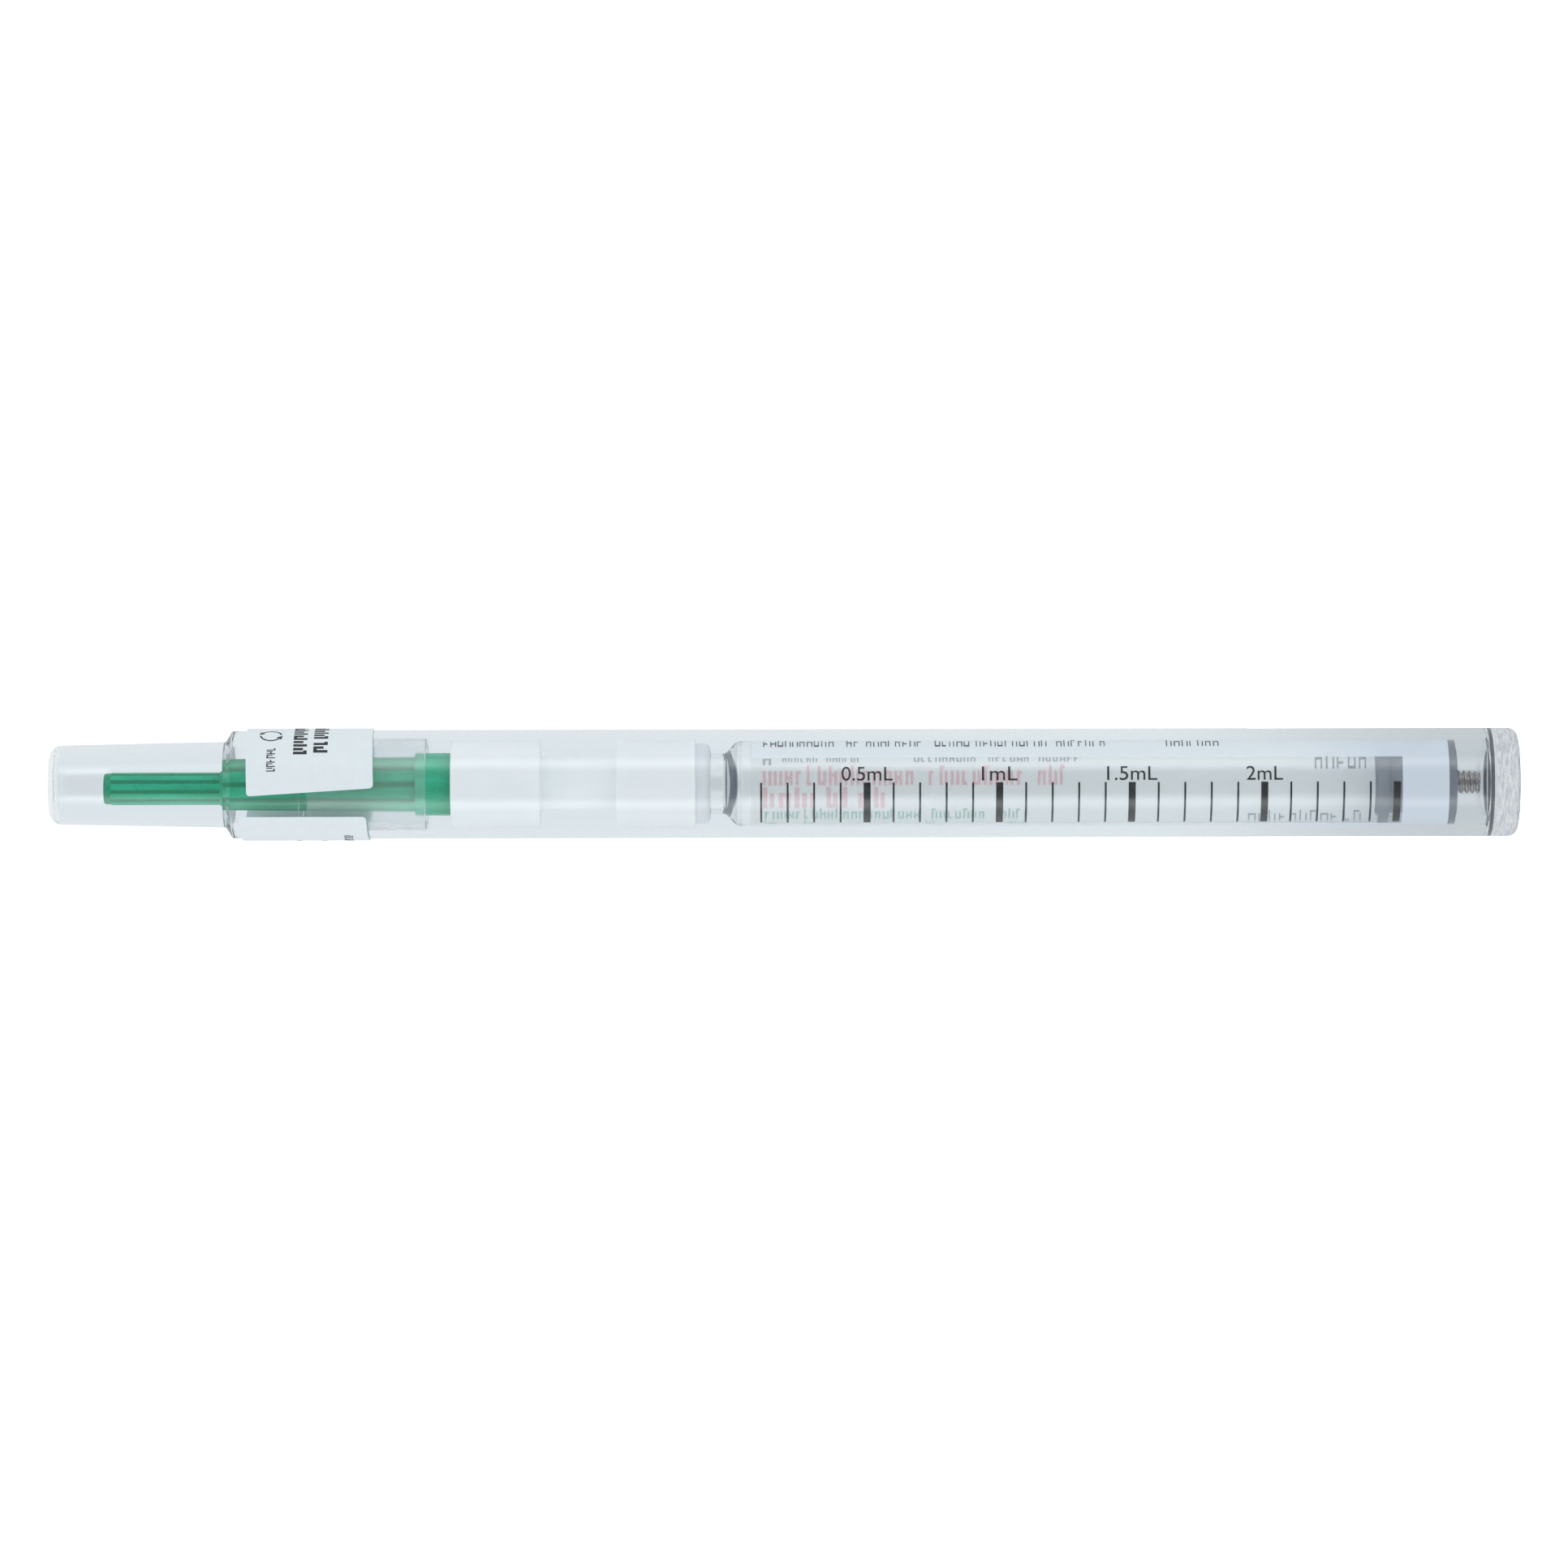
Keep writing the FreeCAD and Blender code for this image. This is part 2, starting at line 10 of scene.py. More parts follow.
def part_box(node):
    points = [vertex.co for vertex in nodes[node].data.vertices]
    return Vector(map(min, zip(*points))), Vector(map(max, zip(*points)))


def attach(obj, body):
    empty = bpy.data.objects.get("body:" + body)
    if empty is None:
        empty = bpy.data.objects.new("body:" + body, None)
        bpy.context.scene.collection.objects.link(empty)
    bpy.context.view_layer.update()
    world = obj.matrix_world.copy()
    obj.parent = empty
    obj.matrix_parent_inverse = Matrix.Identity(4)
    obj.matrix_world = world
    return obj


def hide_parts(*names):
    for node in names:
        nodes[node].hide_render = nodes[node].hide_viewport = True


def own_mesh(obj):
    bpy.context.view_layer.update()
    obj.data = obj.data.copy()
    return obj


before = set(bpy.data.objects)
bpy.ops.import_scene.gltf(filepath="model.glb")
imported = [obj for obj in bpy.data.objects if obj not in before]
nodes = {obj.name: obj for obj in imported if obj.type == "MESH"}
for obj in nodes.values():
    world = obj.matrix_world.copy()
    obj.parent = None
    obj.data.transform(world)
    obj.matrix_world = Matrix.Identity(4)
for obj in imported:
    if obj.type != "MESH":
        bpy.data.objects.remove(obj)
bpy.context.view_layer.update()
print("frame loaded:", len(nodes), "nodes")

mm = 0.001
axisZ = Vector((0, 0, 1))
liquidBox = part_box("solution")
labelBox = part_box("barrel_label")
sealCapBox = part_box("seal_label_cap")
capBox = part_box("package_cap")
jointHeight = sealCapBox[0].z  # where the cap's rim meets the tube's rim
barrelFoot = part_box("glass_barrel")[0].z / mm  # heights on the barrel are counted from here


# Nodes and links

def addNode(tree, kind, **settings):
    node = tree.nodes.new(kind)
    for name, value in settings.items():
        setattr(node, name, value)
    return node


def newMaterial(name):
    material = bpy.data.materials.new(name)
    material.use_nodes = True
    tree = material.node_tree
    return material, tree, tree.nodes["Principled BSDF"]


def setSockets(shader, **values):
    names = {
        "roughness": "Roughness", "metallic": "Metallic", "ior": "IOR", "clear": "Transmission Weight",
        "inner": "Subsurface Weight", "innerScale": "Subsurface Scale", "shine": "Specular IOR Level",
    }
    for name, value in values.items():
        shader.inputs[names[name]].default_value = value


def objectPoint(tree, scale=(1, 1, 1), shift=(0, 0, 0)):
    coords = addNode(tree, "ShaderNodeTexCoord")
    mapping = addNode(tree, "ShaderNodeMapping")
    mapping.inputs["Scale"].default_value = scale
    mapping.inputs["Location"].default_value = shift
    tree.links.new(coords.outputs["Object"], mapping.inputs["Vector"])
    return mapping.outputs["Vector"]


def noise(tree, scale, stretch=(1, 1, 1), detail=3.0, rough=0.55, shift=(0, 0, 0)):
    texture = addNode(tree, "ShaderNodeTexNoise")
    texture.inputs["Scale"].default_value = scale
    texture.inputs["Detail"].default_value = detail
    texture.inputs["Roughness"].default_value = rough
    tree.links.new(objectPoint(tree, stretch, shift), texture.inputs["Vector"])
    return texture.outputs["Fac"]


def mapped(tree, source, fromLow, fromHigh, toLow, toHigh, smooth=False):
    node = addNode(tree, "ShaderNodeMapRange")
    node.interpolation_type = "SMOOTHSTEP" if smooth else "LINEAR"
    for name, value in zip(("From Min", "From Max", "To Min", "To Max"), (fromLow, fromHigh, toLow, toHigh)):
        node.inputs[name].default_value = value
    tree.links.new(source, node.inputs["Value"])
    return node.outputs["Result"]


# Noise keeps mostly between these two levels, which are drawn out to the wanted range
noiseLevels = (0.3, 0.7)


def spread(tree, source, low=0, high=1):
    return mapped(tree, source, *noiseLevels, low, high)


def maths(tree, operation, first, second):
    node = addNode(tree, "ShaderNodeMath", operation=operation)
    for index, value in enumerate((first, second)):
        if isinstance(value, (int, float)):
            node.inputs[index].default_value = value
        else:
            tree.links.new(value, node.inputs[index])
    return node.outputs["Value"]


def amount(tree, value):
    node = addNode(tree, "ShaderNodeMath", operation="ABSOLUTE")
    tree.links.new(value, node.inputs[0])
    return node.outputs["Value"]


def valueMix(tree, factor, first, second):
    node = addNode(tree, "ShaderNodeMix")
    tree.links.new(factor, node.inputs[0])
    for socket, value in ((node.inputs[2], first), (node.inputs[3], second)):
        if isinstance(value, float):
            socket.default_value = value
        else:
            tree.links.new(value, socket)
    return node.outputs[0]


def colourMix(tree, factor, first, second):
    node = addNode(tree, "ShaderNodeMix", data_type="RGBA")
    tree.links.new(factor, node.inputs[0])
    for socket, value in ((node.inputs[6], first), (node.inputs[7], second)):
        if isinstance(value, tuple):
            socket.default_value = (*value, 1)
        else:
            tree.links.new(value, socket)
    return node.outputs[2]


def addBump(tree, shader, height, strength, distance):
    node = addNode(tree, "ShaderNodeBump")
    node.inputs["Strength"].default_value = strength
    node.inputs["Distance"].default_value = distance
    tree.links.new(height, node.inputs["Height"])
    tree.links.new(node.outputs["Normal"], shader.inputs["Normal"])


def heightOf(tree):
    parts = addNode(tree, "ShaderNodeSeparateXYZ")
    tree.links.new(objectPoint(tree), parts.inputs["Vector"])
    return parts.outputs


# Distance from a line along Z, the axis itself unless it is shifted
def radiusOf(tree, shift=(0, 0, 0)):
    flat = addNode(tree, "ShaderNodeVectorMath", operation="MULTIPLY")
    flat.inputs[1].default_value = (1, 1, 0)
    tree.links.new(objectPoint(tree, shift=shift), flat.inputs[0])
    size = addNode(tree, "ShaderNodeVectorMath", operation="LENGTH")
    tree.links.new(flat.outputs["Vector"], size.inputs[0])
    return size.outputs["Value"]


# 1 between two heights along the axis, 0 outside, with soft ends
def zoneAlong(tree, low, high, soft):
    z = heightOf(tree)["Z"]
    rises = mapped(tree, z, low - soft, low + soft, 0, 1, True)
    falls = mapped(tree, z, high - soft, high + soft, 1, 0, True)
    return maths(tree, "MULTIPLY", rises, falls)


# Degrees round the axis, 0 at the front and growing towards +X
def turnOf(tree):
    parts = heightOf(tree)
    back = maths(tree, "MULTIPLY", parts["Y"], -1.0)
    turn = maths(tree, "ARCTAN2", parts["X"], back)
    return maths(tree, "MULTIPLY", turn, 180 / math.pi)


# Lights and scattered light pass a clear wall straight, other rays are bent by it
def letLightThrough(tree, shader, tint, share=1.0):
    path = addNode(tree, "ShaderNodeLightPath")
    clear = addNode(tree, "ShaderNodeBsdfTransparent")
    clear.inputs["Color"].default_value = (*tint, 1)
    last = shader.outputs[0]
    for kind in ("Is Diffuse Ray", "Is Shadow Ray"):
        mix = addNode(tree, "ShaderNodeMixShader")
        factor = path.outputs[kind]
        if share < 1:
            factor = maths(tree, "MULTIPLY", factor, share)
        tree.links.new(factor, mix.inputs[0])
        tree.links.new(last, mix.inputs[1])
        tree.links.new(clear.outputs[0], mix.inputs[2])
        last = mix.outputs[0]
    tree.links.new(last, tree.nodes["Material Output"].inputs["Surface"])


# Clear and frosted plastics, glass and liquid

tubeLook = {
    "tint": (0.985, 0.992, 1.0), "paler": (0.97, 0.985, 0.995), "scuffed": (0.57, 0.60, 0.645), "ior": 1.49,
    "rough": (0.0, 0.006), "clear": 0.994,
    "footHeight": 2.50 * mm, "footSoft": 0.14 * mm, "footRough": (0.20, 0.55), "footClear": 0.62,
    # painted shade: a dark, rougher, less clear patch on the floor inside the foot and on its rounding
    "paintedShadeLow": 2.54 * mm, "paintedShadeHigh": 3.04 * mm, "paintedShadeSoft": 0.04 * mm, "paintedShadeR": 4.95 * mm,
    "unshadedRingR": (3.50 * mm, 3.95 * mm), "corner": (0.08, 0.095, 0.11), "paintedShadeRough": 0.60, "paintedShadeClear": 0.08,
    "lightTint": (0.985, 0.99, 0.99),
}
capLook = {
    "tint": (0.985, 0.993, 1.0), "paler": (0.975, 0.985, 0.995), "ior": 1.49,
    "rough": (0.0, 0.006), "clear": 0.996,
    "frostRough": (0.10, 0.18), "frostClear": 0.955, "frostSoft": 0.1 * mm,
    "endDepth": 0.62 * mm, "endClear": 0.30, "endSoft": 0.12 * mm, "lightTint": (0.985, 0.99, 0.99),
}
glassLook = {
    "tint": (0.992, 0.998, 0.998), "ior": 1.50, "rough": (0.0, 0.006), "lightTint": (0.99, 0.995, 0.995),
}
liquidLook = {
    "tint": (0.998, 1.0, 1.0), "ior": 1.333, "rough": (0.0, 0.004), "lightTint": (1.0, 1.0, 1.0),
    # painted shade: a dark band in the liquid where it meets the glass shoulder
    "paintedShadeBand": (0.035, 0.05, 0.065), "paintedShadeBandLow": (barrelFoot + 76.97) * mm, "paintedShadeBandHigh": (barrelFoot + 77.60) * mm,
    "paintedShadeBandBend": 0.045, "paintedShadeBandSoft": 0.08 * mm,
}


def tubePlastic():
    material, tree, shader = newMaterial("tubePlastic")
    look = tubeLook
    setSockets(shader, ior=look["ior"])
    foot = zoneAlong(tree, -1 * mm, look["footHeight"], look["footSoft"])
    cloud = noise(tree, 420, (1, 1, 0.35), 4)
    scuffs = noise(tree, 1500, (0.55, 0.55, 4.0), 6, 0.75)
    specks = noise(tree, 2600, (1, 1, 1), 3, 0.6)
    plain = spread(tree, cloud, *look["rough"])
    scuffed = spread(tree, scuffs, *look["footRough"])
    # Painted shade: on the floor inside the foot and on its rounding, leaving a ring between them, the
    # plastic is made dark, rough and far less clear
    radius = radiusOf(tree)
    inside = maths(tree, "LESS_THAN", radius, look["paintedShadeR"])
    inner, outer = look["unshadedRingR"]
    between = maths(tree, "MULTIPLY", maths(tree, "GREATER_THAN", radius, inner),
                    maths(tree, "LESS_THAN", radius, outer))
    inside = maths(tree, "SUBTRACT", inside, between)
    corner = zoneAlong(tree, look["paintedShadeLow"], look["paintedShadeHigh"], look["paintedShadeSoft"])
    corner = maths(tree, "MULTIPLY", inside, corner)
    rough = valueMix(tree, foot, plain, scuffed)
    tree.links.new(valueMix(tree, corner, rough, look["paintedShadeRough"]), shader.inputs["Roughness"])
    clear = mapped(tree, foot, 0, 1, look["clear"], look["footClear"])
    dimmed = maths(tree, "SUBTRACT", 1.0, maths(tree, "MULTIPLY", corner, 1 - look["paintedShadeClear"]))
    tree.links.new(maths(tree, "MULTIPLY", clear, dimmed), shader.inputs["Transmission Weight"])
    body = colourMix(tree, spread(tree, cloud), look["tint"], look["paler"])
    marks = maths(tree, "MULTIPLY", foot, mapped(tree, scuffs, 0.42, 0.60, 0, 1, True))
    # painted shade colour on that patch
    body = colourMix(tree, corner, body, look["corner"])
    tree.links.new(colourMix(tree, marks, body, look["scuffed"]), shader.inputs["Base Color"])
    relief = maths(tree, "MULTIPLY", foot, maths(tree, "ADD", scuffs, maths(tree, "MULTIPLY", specks, 0.4)))
    relief = maths(tree, "ADD", relief, maths(tree, "MULTIPLY", corner, maths(tree, "MULTIPLY", specks, 1.5)))
    addBump(tree, shader, relief, 0.55, 0.09 * mm)
    letLightThrough(tree, shader, look["lightTint"])
    return material


def capPlastic():
    material, tree, shader = newMaterial("capPlastic")
    look = capLook
    setSockets(shader, ior=look["ior"])
    frost = zoneAlong(tree, capBox[0].z - mm, jointHeight - look["frostSoft"], look["frostSoft"])
    cloud = noise(tree, 500, (1, 1, 0.4), 4)
    grit = noise(tree, 5200, (1, 1, 1), 2)
    plain = spread(tree, cloud, *look["rough"])
    frosted = spread(tree, grit, *look["frostRough"])
    tree.links.new(valueMix(tree, frost, plain, frosted), shader.inputs["Roughness"])
    endStart, soft = capBox[1].z - look["endDepth"], look["endSoft"]
    endShare = mapped(tree, heightOf(tree)["Z"], endStart - soft, endStart + soft, 1, look["endClear"], True)
    clear = mapped(tree, frost, 0, 1, look["clear"], look["frostClear"])
    tree.links.new(maths(tree, "MULTIPLY", clear, endShare), shader.inputs["Transmission Weight"])
    body = colourMix(tree, spread(tree, cloud), look["tint"], look["paler"])
    tree.links.new(body, shader.inputs["Base Color"])
    addBump(tree, shader, maths(tree, "MULTIPLY", frost, grit), 0.30, 0.003 * mm)
    letLightThrough(tree, shader, look["lightTint"])
    return material


def clearBody(name, look):
    material, tree, shader = newMaterial(name)
    setSockets(shader, ior=look["ior"], clear=1.0)
    cloud = noise(tree, 380, (1, 1, 0.3), 3)
    tree.links.new(spread(tree, cloud, *look["rough"]), shader.inputs["Roughness"])
    paler = tuple(value * 0.992 for value in look["tint"])
    body = colourMix(tree, spread(tree, cloud), look["tint"], paler)
    # Painted shade: a dark band across the liquid at the glass shoulder, bowed towards the sides
    if "paintedShadeBand" in look:
        parts = heightOf(tree)
        squared = maths(tree, "MULTIPLY", parts["X"], parts["X"])
        across = maths(tree, "MULTIPLY", squared, look["paintedShadeBandBend"] / mm)
        level = maths(tree, "SUBTRACT", parts["Z"], across)
        soft = look["paintedShadeBandSoft"]
        rises = mapped(tree, level, look["paintedShadeBandLow"] - soft, look["paintedShadeBandLow"] + soft, 0, 1, True)
        falls = mapped(tree, level, look["paintedShadeBandHigh"] - soft, look["paintedShadeBandHigh"] + soft, 1, 0, True)
        body = colourMix(tree, maths(tree, "MULTIPLY", rises, falls), body, look["paintedShadeBand"])
    tree.links.new(body, shader.inputs["Base Color"])
    letLightThrough(tree, shader, look["lightTint"])
    return material


# Label film: clear window in front, milky white elsewhere

filmLook = {
    "windowTurn": (-66.0, 35.0), "windowSoft": 0.8, "windowLow": (barrelFoot + 9.4) * mm,
    "edgeSoft": 0.05 * mm,
    "white": (0.76, 0.83, 0.885), "paler": (0.79, 0.86, 0.91), "rear": (0.66, 0.745, 0.855),
    # inner: painted light, the face against the glass is painted whiter and brighter than the outer face
    "inner": (0.95, 0.955, 0.94), "innerDepth": 0.025 * mm, "rough": (0.28, 0.42),
    "rearFrom": 26 * mm, "rearTo": 13 * mm, "alpha": 0.70, "windowAlpha": 0.05,
    "lightTint": (0.97, 0.975, 0.98), "lightShare": 0.85,
}


def labelFilm():
    material, tree, shader = newMaterial("labelFilm")
    look = filmLook
    turn = turnOf(tree)
    low, high = look["windowTurn"]
    soft = look["windowSoft"]
    window = maths(tree, "MULTIPLY", mapped(tree, turn, low - soft, low + soft, 0, 1, True),
                   mapped(tree, turn, high - soft, high + soft, 1, 0, True))
    z = heightOf(tree)["Z"]
    start, edge = look["windowLow"], look["edgeSoft"]
    along = mapped(tree, z, start - edge, start + edge, 0, 1, True)
    window = maths(tree, "MULTIPLY", window, along)
    cloud = noise(tree, 300, (1, 1, 0.5), 4)
    # Painted light: the face against the glass gets the brighter inner colour, and the outer face gets the
    # milky one
    outside = maths(tree, "GREATER_THAN", radiusOf(tree), labelBox[1].x - look["innerDepth"])
    milky = colourMix(tree, spread(tree, cloud), look["white"], look["paler"])
    rear = mapped(tree, z, look["rearFrom"], look["rearTo"], 0, 1, True)
    milky = colourMix(tree, rear, milky, look["rear"])
    tree.links.new(colourMix(tree, outside, look["inner"], milky), shader.inputs["Base Color"])
    tree.links.new(mapped(tree, window, 0, 1, look["alpha"], look["windowAlpha"]), shader.inputs["Alpha"])
    tree.links.new(spread(tree, cloud, *look["rough"]), shader.inputs["Roughness"])
    addBump(tree, shader, noise(tree, 900, (1, 1, 1), 3), 0.06, 0.02 * mm)
    letLightThrough(tree, shader, look["lightTint"], look["lightShare"])
    return material


# Opaque finishes

finishLook = {
    "hub": {"low": (0.845, 0.90, 0.925), "high": (0.90, 0.94, 0.96), "rough": (0.38, 0.52), "scale": 500,
            "stretch": (1, 1, 0.4), "bump": 0.10, "inner": 0.25},
    "darkRubber": {"low": (0.165, 0.188, 0.230), "high": (0.200, 0.228, 0.275), "rough": (0.48, 0.66),
                   "scale": 1400, "stretch": (1, 1, 1), "bump": 0.20, "inner": 0.0},
    "greyRubber": {"low": (0.070, 0.074, 0.078), "high": (0.10, 0.105, 0.11), "rough": (0.50, 0.68),
                   "scale": 1400, "stretch": (1, 1, 1), "bump": 0.20, "inner": 0.0},
    "sealPaper": {"low": (0.76, 0.83, 0.86), "high": (0.79, 0.855, 0.885), "rough": (0.42, 0.56),
                  "scale": 900, "stretch": (1, 1, 1), "bump": 0.10, "inner": 0.0,
                  "lightTint": (0.93, 0.96, 0.97), "lightShare": 0.4},
}


def plainFinish(name):
    material, tree, shader = newMaterial(name + "Finish")
    look = finishLook[name]
    cloud = noise(tree, look["scale"], look["stretch"], 4)
    fine = noise(tree, look["scale"] * 6, (1, 1, 1), 3)
    tree.links.new(colourMix(tree, spread(tree, cloud), look["low"], look["high"]),
                   shader.inputs["Base Color"])
    tree.links.new(spread(tree, fine, *look["rough"]), shader.inputs["Roughness"])
    if look["inner"]:
        setSockets(shader, inner=look["inner"], innerScale=0.6 * mm)
        shader.inputs["Subsurface Radius"].default_value = (0.8, 1.0, 0.9)
    addBump(tree, shader, fine, look["bump"], 0.02 * mm)
    if name == "sealPaper":
        letLightThrough(tree, shader, look["lightTint"], look["lightShare"])
    return material


# Green cover: painted shade, a deeper green down in the flutes, paler on their crests
coverLook = {
    "deep": (0.0, 0.235, 0.115), "green": (0.002, 0.33, 0.165), "crest": (0.02, 0.50, 0.29),
    "rough": (0.24, 0.36),
    "bodyLow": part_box("tip_cover")[0].z + 11.65 * mm, "bodyTop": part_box("tip_cover")[0].z + 31.20 * mm,
    "bodyR": (2.78, 2.62), "stemR": 1.66, "stemShift": 0.40, "paintedShadeDepth": 0.13,
}


def coverFinish():
    material, tree, shader = newMaterial("coverFinish")
    look = coverLook
    radii = [radiusOf(tree, (shift, 0, 0)) for shift in (0.0, look["stemShift"] * mm)]
    z = heightOf(tree)["Z"]
    low, high = look["bodyR"]
    bodyFull = mapped(tree, z, look["bodyLow"], look["bodyTop"], low * mm, high * mm)
    bodyDepth = maths(tree, "SUBTRACT", bodyFull, radii[0])
    stemDepth = maths(tree, "SUBTRACT", look["stemR"] * mm, radii[1])
    onStem = maths(tree, "GREATER_THAN", z, look["bodyTop"])
    depth = valueMix(tree, onStem, bodyDepth, stemDepth)
    # painted shade: the deeper a point lies in a flute, the more of the deep green it gets
    share = mapped(tree, depth, 0.0, look["paintedShadeDepth"] * mm, 0, 1, True)
    cloud = noise(tree, 650, (1, 1, 0.25), 4)
    fine = noise(tree, 4000, (1, 1, 1), 3)
    crest = colourMix(tree, spread(tree, cloud), look["crest"], look["green"])
    tree.links.new(colourMix(tree, share, crest, look["deep"]), shader.inputs["Base Color"])
    tree.links.new(spread(tree, fine, *look["rough"]), shader.inputs["Roughness"])
    addBump(tree, shader, fine, 0.10, 0.02 * mm)
    return material


metalLook = {
    "aluminium": {"low": (0.84, 0.88, 0.92), "high": (0.91, 0.945, 0.975), "rough": (0.46, 0.60),
                  "metal": 0.35, "stretch": (0.1, 0.1, 6)},
    "steel": {"low": (0.52, 0.53, 0.55), "high": (0.68, 0.69, 0.70), "rough": (0.18, 0.32), "metal": 1.0,
              "stretch": (3, 3, 0.2)},
    "stud": {"low": (0.48, 0.45, 0.445), "high": (0.84, 0.80, 0.79), "rough": (0.26, 0.44), "metal": 0.85,
             "stretch": (1, 1, 2)},
}


def metalFinish(name):
    material, tree, shader = newMaterial(name + "Finish")
    look = metalLook[name]
    setSockets(shader, metallic=look["metal"])
    lines = noise(tree, 2500, look["stretch"], 4)
    tree.links.new(colourMix(tree, spread(tree, lines), look["low"], look["high"]),
                   shader.inputs["Base Color"])
    tree.links.new(spread(tree, lines, *look["rough"]), shader.inputs["Roughness"])
    addBump(tree, shader, lines, 0.12, 0.02 * mm)
    return material


# Print: the outer face is strong ink, the face against the glass shows through paler
inkLook = {
    "black": {"outer": (0.008, 0.009, 0.011), "inner": (0.02, 0.022, 0.026)},
    "red": {"outer": (0.52, 0.06, 0.075), "inner": (0.88, 0.56, 0.60)},
    "green": {"outer": (0.05, 0.33, 0.22), "inner": (0.30, 0.58, 0.50)},
    "grey": {"outer": (0.10, 0.11, 0.13), "inner": (0.20, 0.235, 0.28)},
}


def inkFinish(name):
    material, tree, shader = newMaterial(name + "Ink")
    look = inkLook[name]
    middle = labelBox[1].x - 0.02 * mm
    outside = mapped(tree, radiusOf(tree), middle - 0.005 * mm, middle + 0.005 * mm, 0, 1)
    speckle = noise(tree, 3500, (1, 1, 1), 3)
    ink = colourMix(tree, outside, look["inner"], look["outer"])
    worn = colourMix(tree, mapped(tree, speckle, 0.45, 0.85, 0, 0.15), ink, (0.30, 0.31, 0.33))
    tree.links.new(worn, shader.inputs["Base Color"])
    tree.links.new(spread(tree, speckle, 0.35, 0.55), shader.inputs["Roughness"])
    addBump(tree, shader, speckle, 0.08, 0.01 * mm)
    return material


finishes = {
    "tube": tubePlastic(), "cap": capPlastic(),
    "glass": clearBody("barrelGlass", glassLook), "liquid": clearBody("clearLiquid", liquidLook),
    "film": labelFilm(), "green": coverFinish(),
    **{name: plainFinish(name) for name in finishLook},
    **{name: metalFinish(name) for name in metalLook},
    **{name + "Ink": inkFinish(name) for name in inkLook},
}
nodeFinishes = {
    "crimp_ferrule": "aluminium", "diaphragm": "greyRubber", "piston": "darkRubber", "luer_hub": "hub",
    "piercing_cannula": "steel", "tip_cover": "green", "seal_label_tube": "sealPaper",
    "seal_label_cap": "sealPaper",
}
for nodeName, finishName in nodeFinishes.items():
    mesh = nodes[nodeName].data
    mesh.materials.clear()
    mesh.materials.append(finishes[finishName])
print("finishes given to", len(nodeFinishes), "CAD nodes")


# New pieces

def finishPiece(work, name, finishName, body, slotName, smooth=True):
    bmesh.ops.remove_doubles(work, verts=work.verts, dist=0.0005 * mm)
    bmesh.ops.recalc_face_normals(work, faces=work.faces)
    mesh = bpy.data.meshes.new(name)
    work.to_mesh(mesh)
    work.free()
    piece = bpy.data.objects.new(name, mesh)
    bpy.context.scene.collection.objects.link(piece)
    mesh.materials.append(finishes[finishName])
    if smooth:
        mesh.shade_smooth()
        mesh.set_sharp_from_angle(angle=math.radians(32))
    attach(piece, body)
    return piece


# Full turn of an outline given as (radius, height) points in millimetres
def turnOutline(points, steps):
    work = bmesh.new()
    verts = [work.verts.new((r * mm, 0, z * mm)) for r, z in points]
    edges = [work.edges.new(pair) for pair in zip(verts, verts[1:])]
    bmesh.ops.spin(work, geom=verts + edges, axis=axisZ, cent=(0, 0, 0), angle=math.tau,
                   steps=steps, use_merge=True)
    return work


# Liquid column: wets the glass, so it reaches just into the wall
liquidSizes = {
    "bore": 3.445, "neck": 1.765, "shoulder": barrelFoot + 76.92, "slope": 1.1 / 1.23,
    "rear": liquidBox[0].z / mm, "top": liquidBox[1].z / mm, "shoulderRound": 0.8, "neckRound": 0.70,
    "meniscus": 0.12, "edgeLift": 0.4, "edgeInset": 0.02, "steps": 96, "arcSteps": (8, 6),
    "anchor": barrelFoot + 76.80, "keep": 0.007,
}


def liquidColumn():
    size = liquidSizes
    bore, neck, rear, shoulder = size["bore"], size["neck"], size["rear"], size["shoulder"]
    meniscus = size["meniscus"]
    edge = (bore - size["edgeInset"], rear + meniscus * size["edgeLift"])
    inner = [(0.0, rear), (bore - meniscus, rear), edge, (bore, rear + meniscus)]
    neckStart = shoulder + size["slope"] * (bore - neck)
    turn, throatTurn = (bore, shoulder), (neck, neckStart)
    cornerSteps, throatSteps = size["arcSteps"]
    corner = roundCorner((bore, rear), turn, throatTurn, size["shoulderRound"], cornerSteps)
    throat = roundCorner(turn, throatTurn, (neck, size["top"]), size["neckRound"], throatSteps)
    top = [(neck, size["top"]), (0.0, size["top"])]
    work = turnOutline(inner + corner + throat + top, size["steps"])
    piece = finishPiece(work, "liquid_column", "liquid", "package", "clear_liquid")
    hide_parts("solution")
    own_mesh(piece)
    return piece


# Points of the arc that rounds the middle one of three (radius, height) points
def roundCorner(before, corner, after, radius, steps):
    corner = Vector(corner)
    into = (Vector(before) - corner).normalized()
    away = (Vector(after) - corner).normalized()
    half = into.angle(away) / 2
    centre = corner + (into + away).normalized() * (radius / math.sin(half))
    start = corner + into * (radius / math.tan(half)) - centre
    sweep = math.pi - 2 * half
    side = 1 if into.cross(away) < 0 else -1
    points = []
    for index in range(steps + 1):
        turn = side * sweep * index / steps
        points.append((centre.x + start.x * math.cos(turn) - start.y * math.sin(turn),
                       centre.y + start.x * math.sin(turn) + start.y * math.cos(turn)))
    return points


# Threaded stud on the stopper's rear face
studSizes = {
    "root": 0.93, "crest": 1.19, "pitch": 0.55, "crestWidth": 0.12, "flank": 0.17, "steps": 40,
    "threadLow": barrelFoot + 1.22, "threadHigh": barrelFoot + 3.85, "head": 1.95,
    "headLow": barrelFoot + 5.55, "headHigh": barrelFoot + 6.30, "shank": 1.10,
    "overlap": 0.05,
}


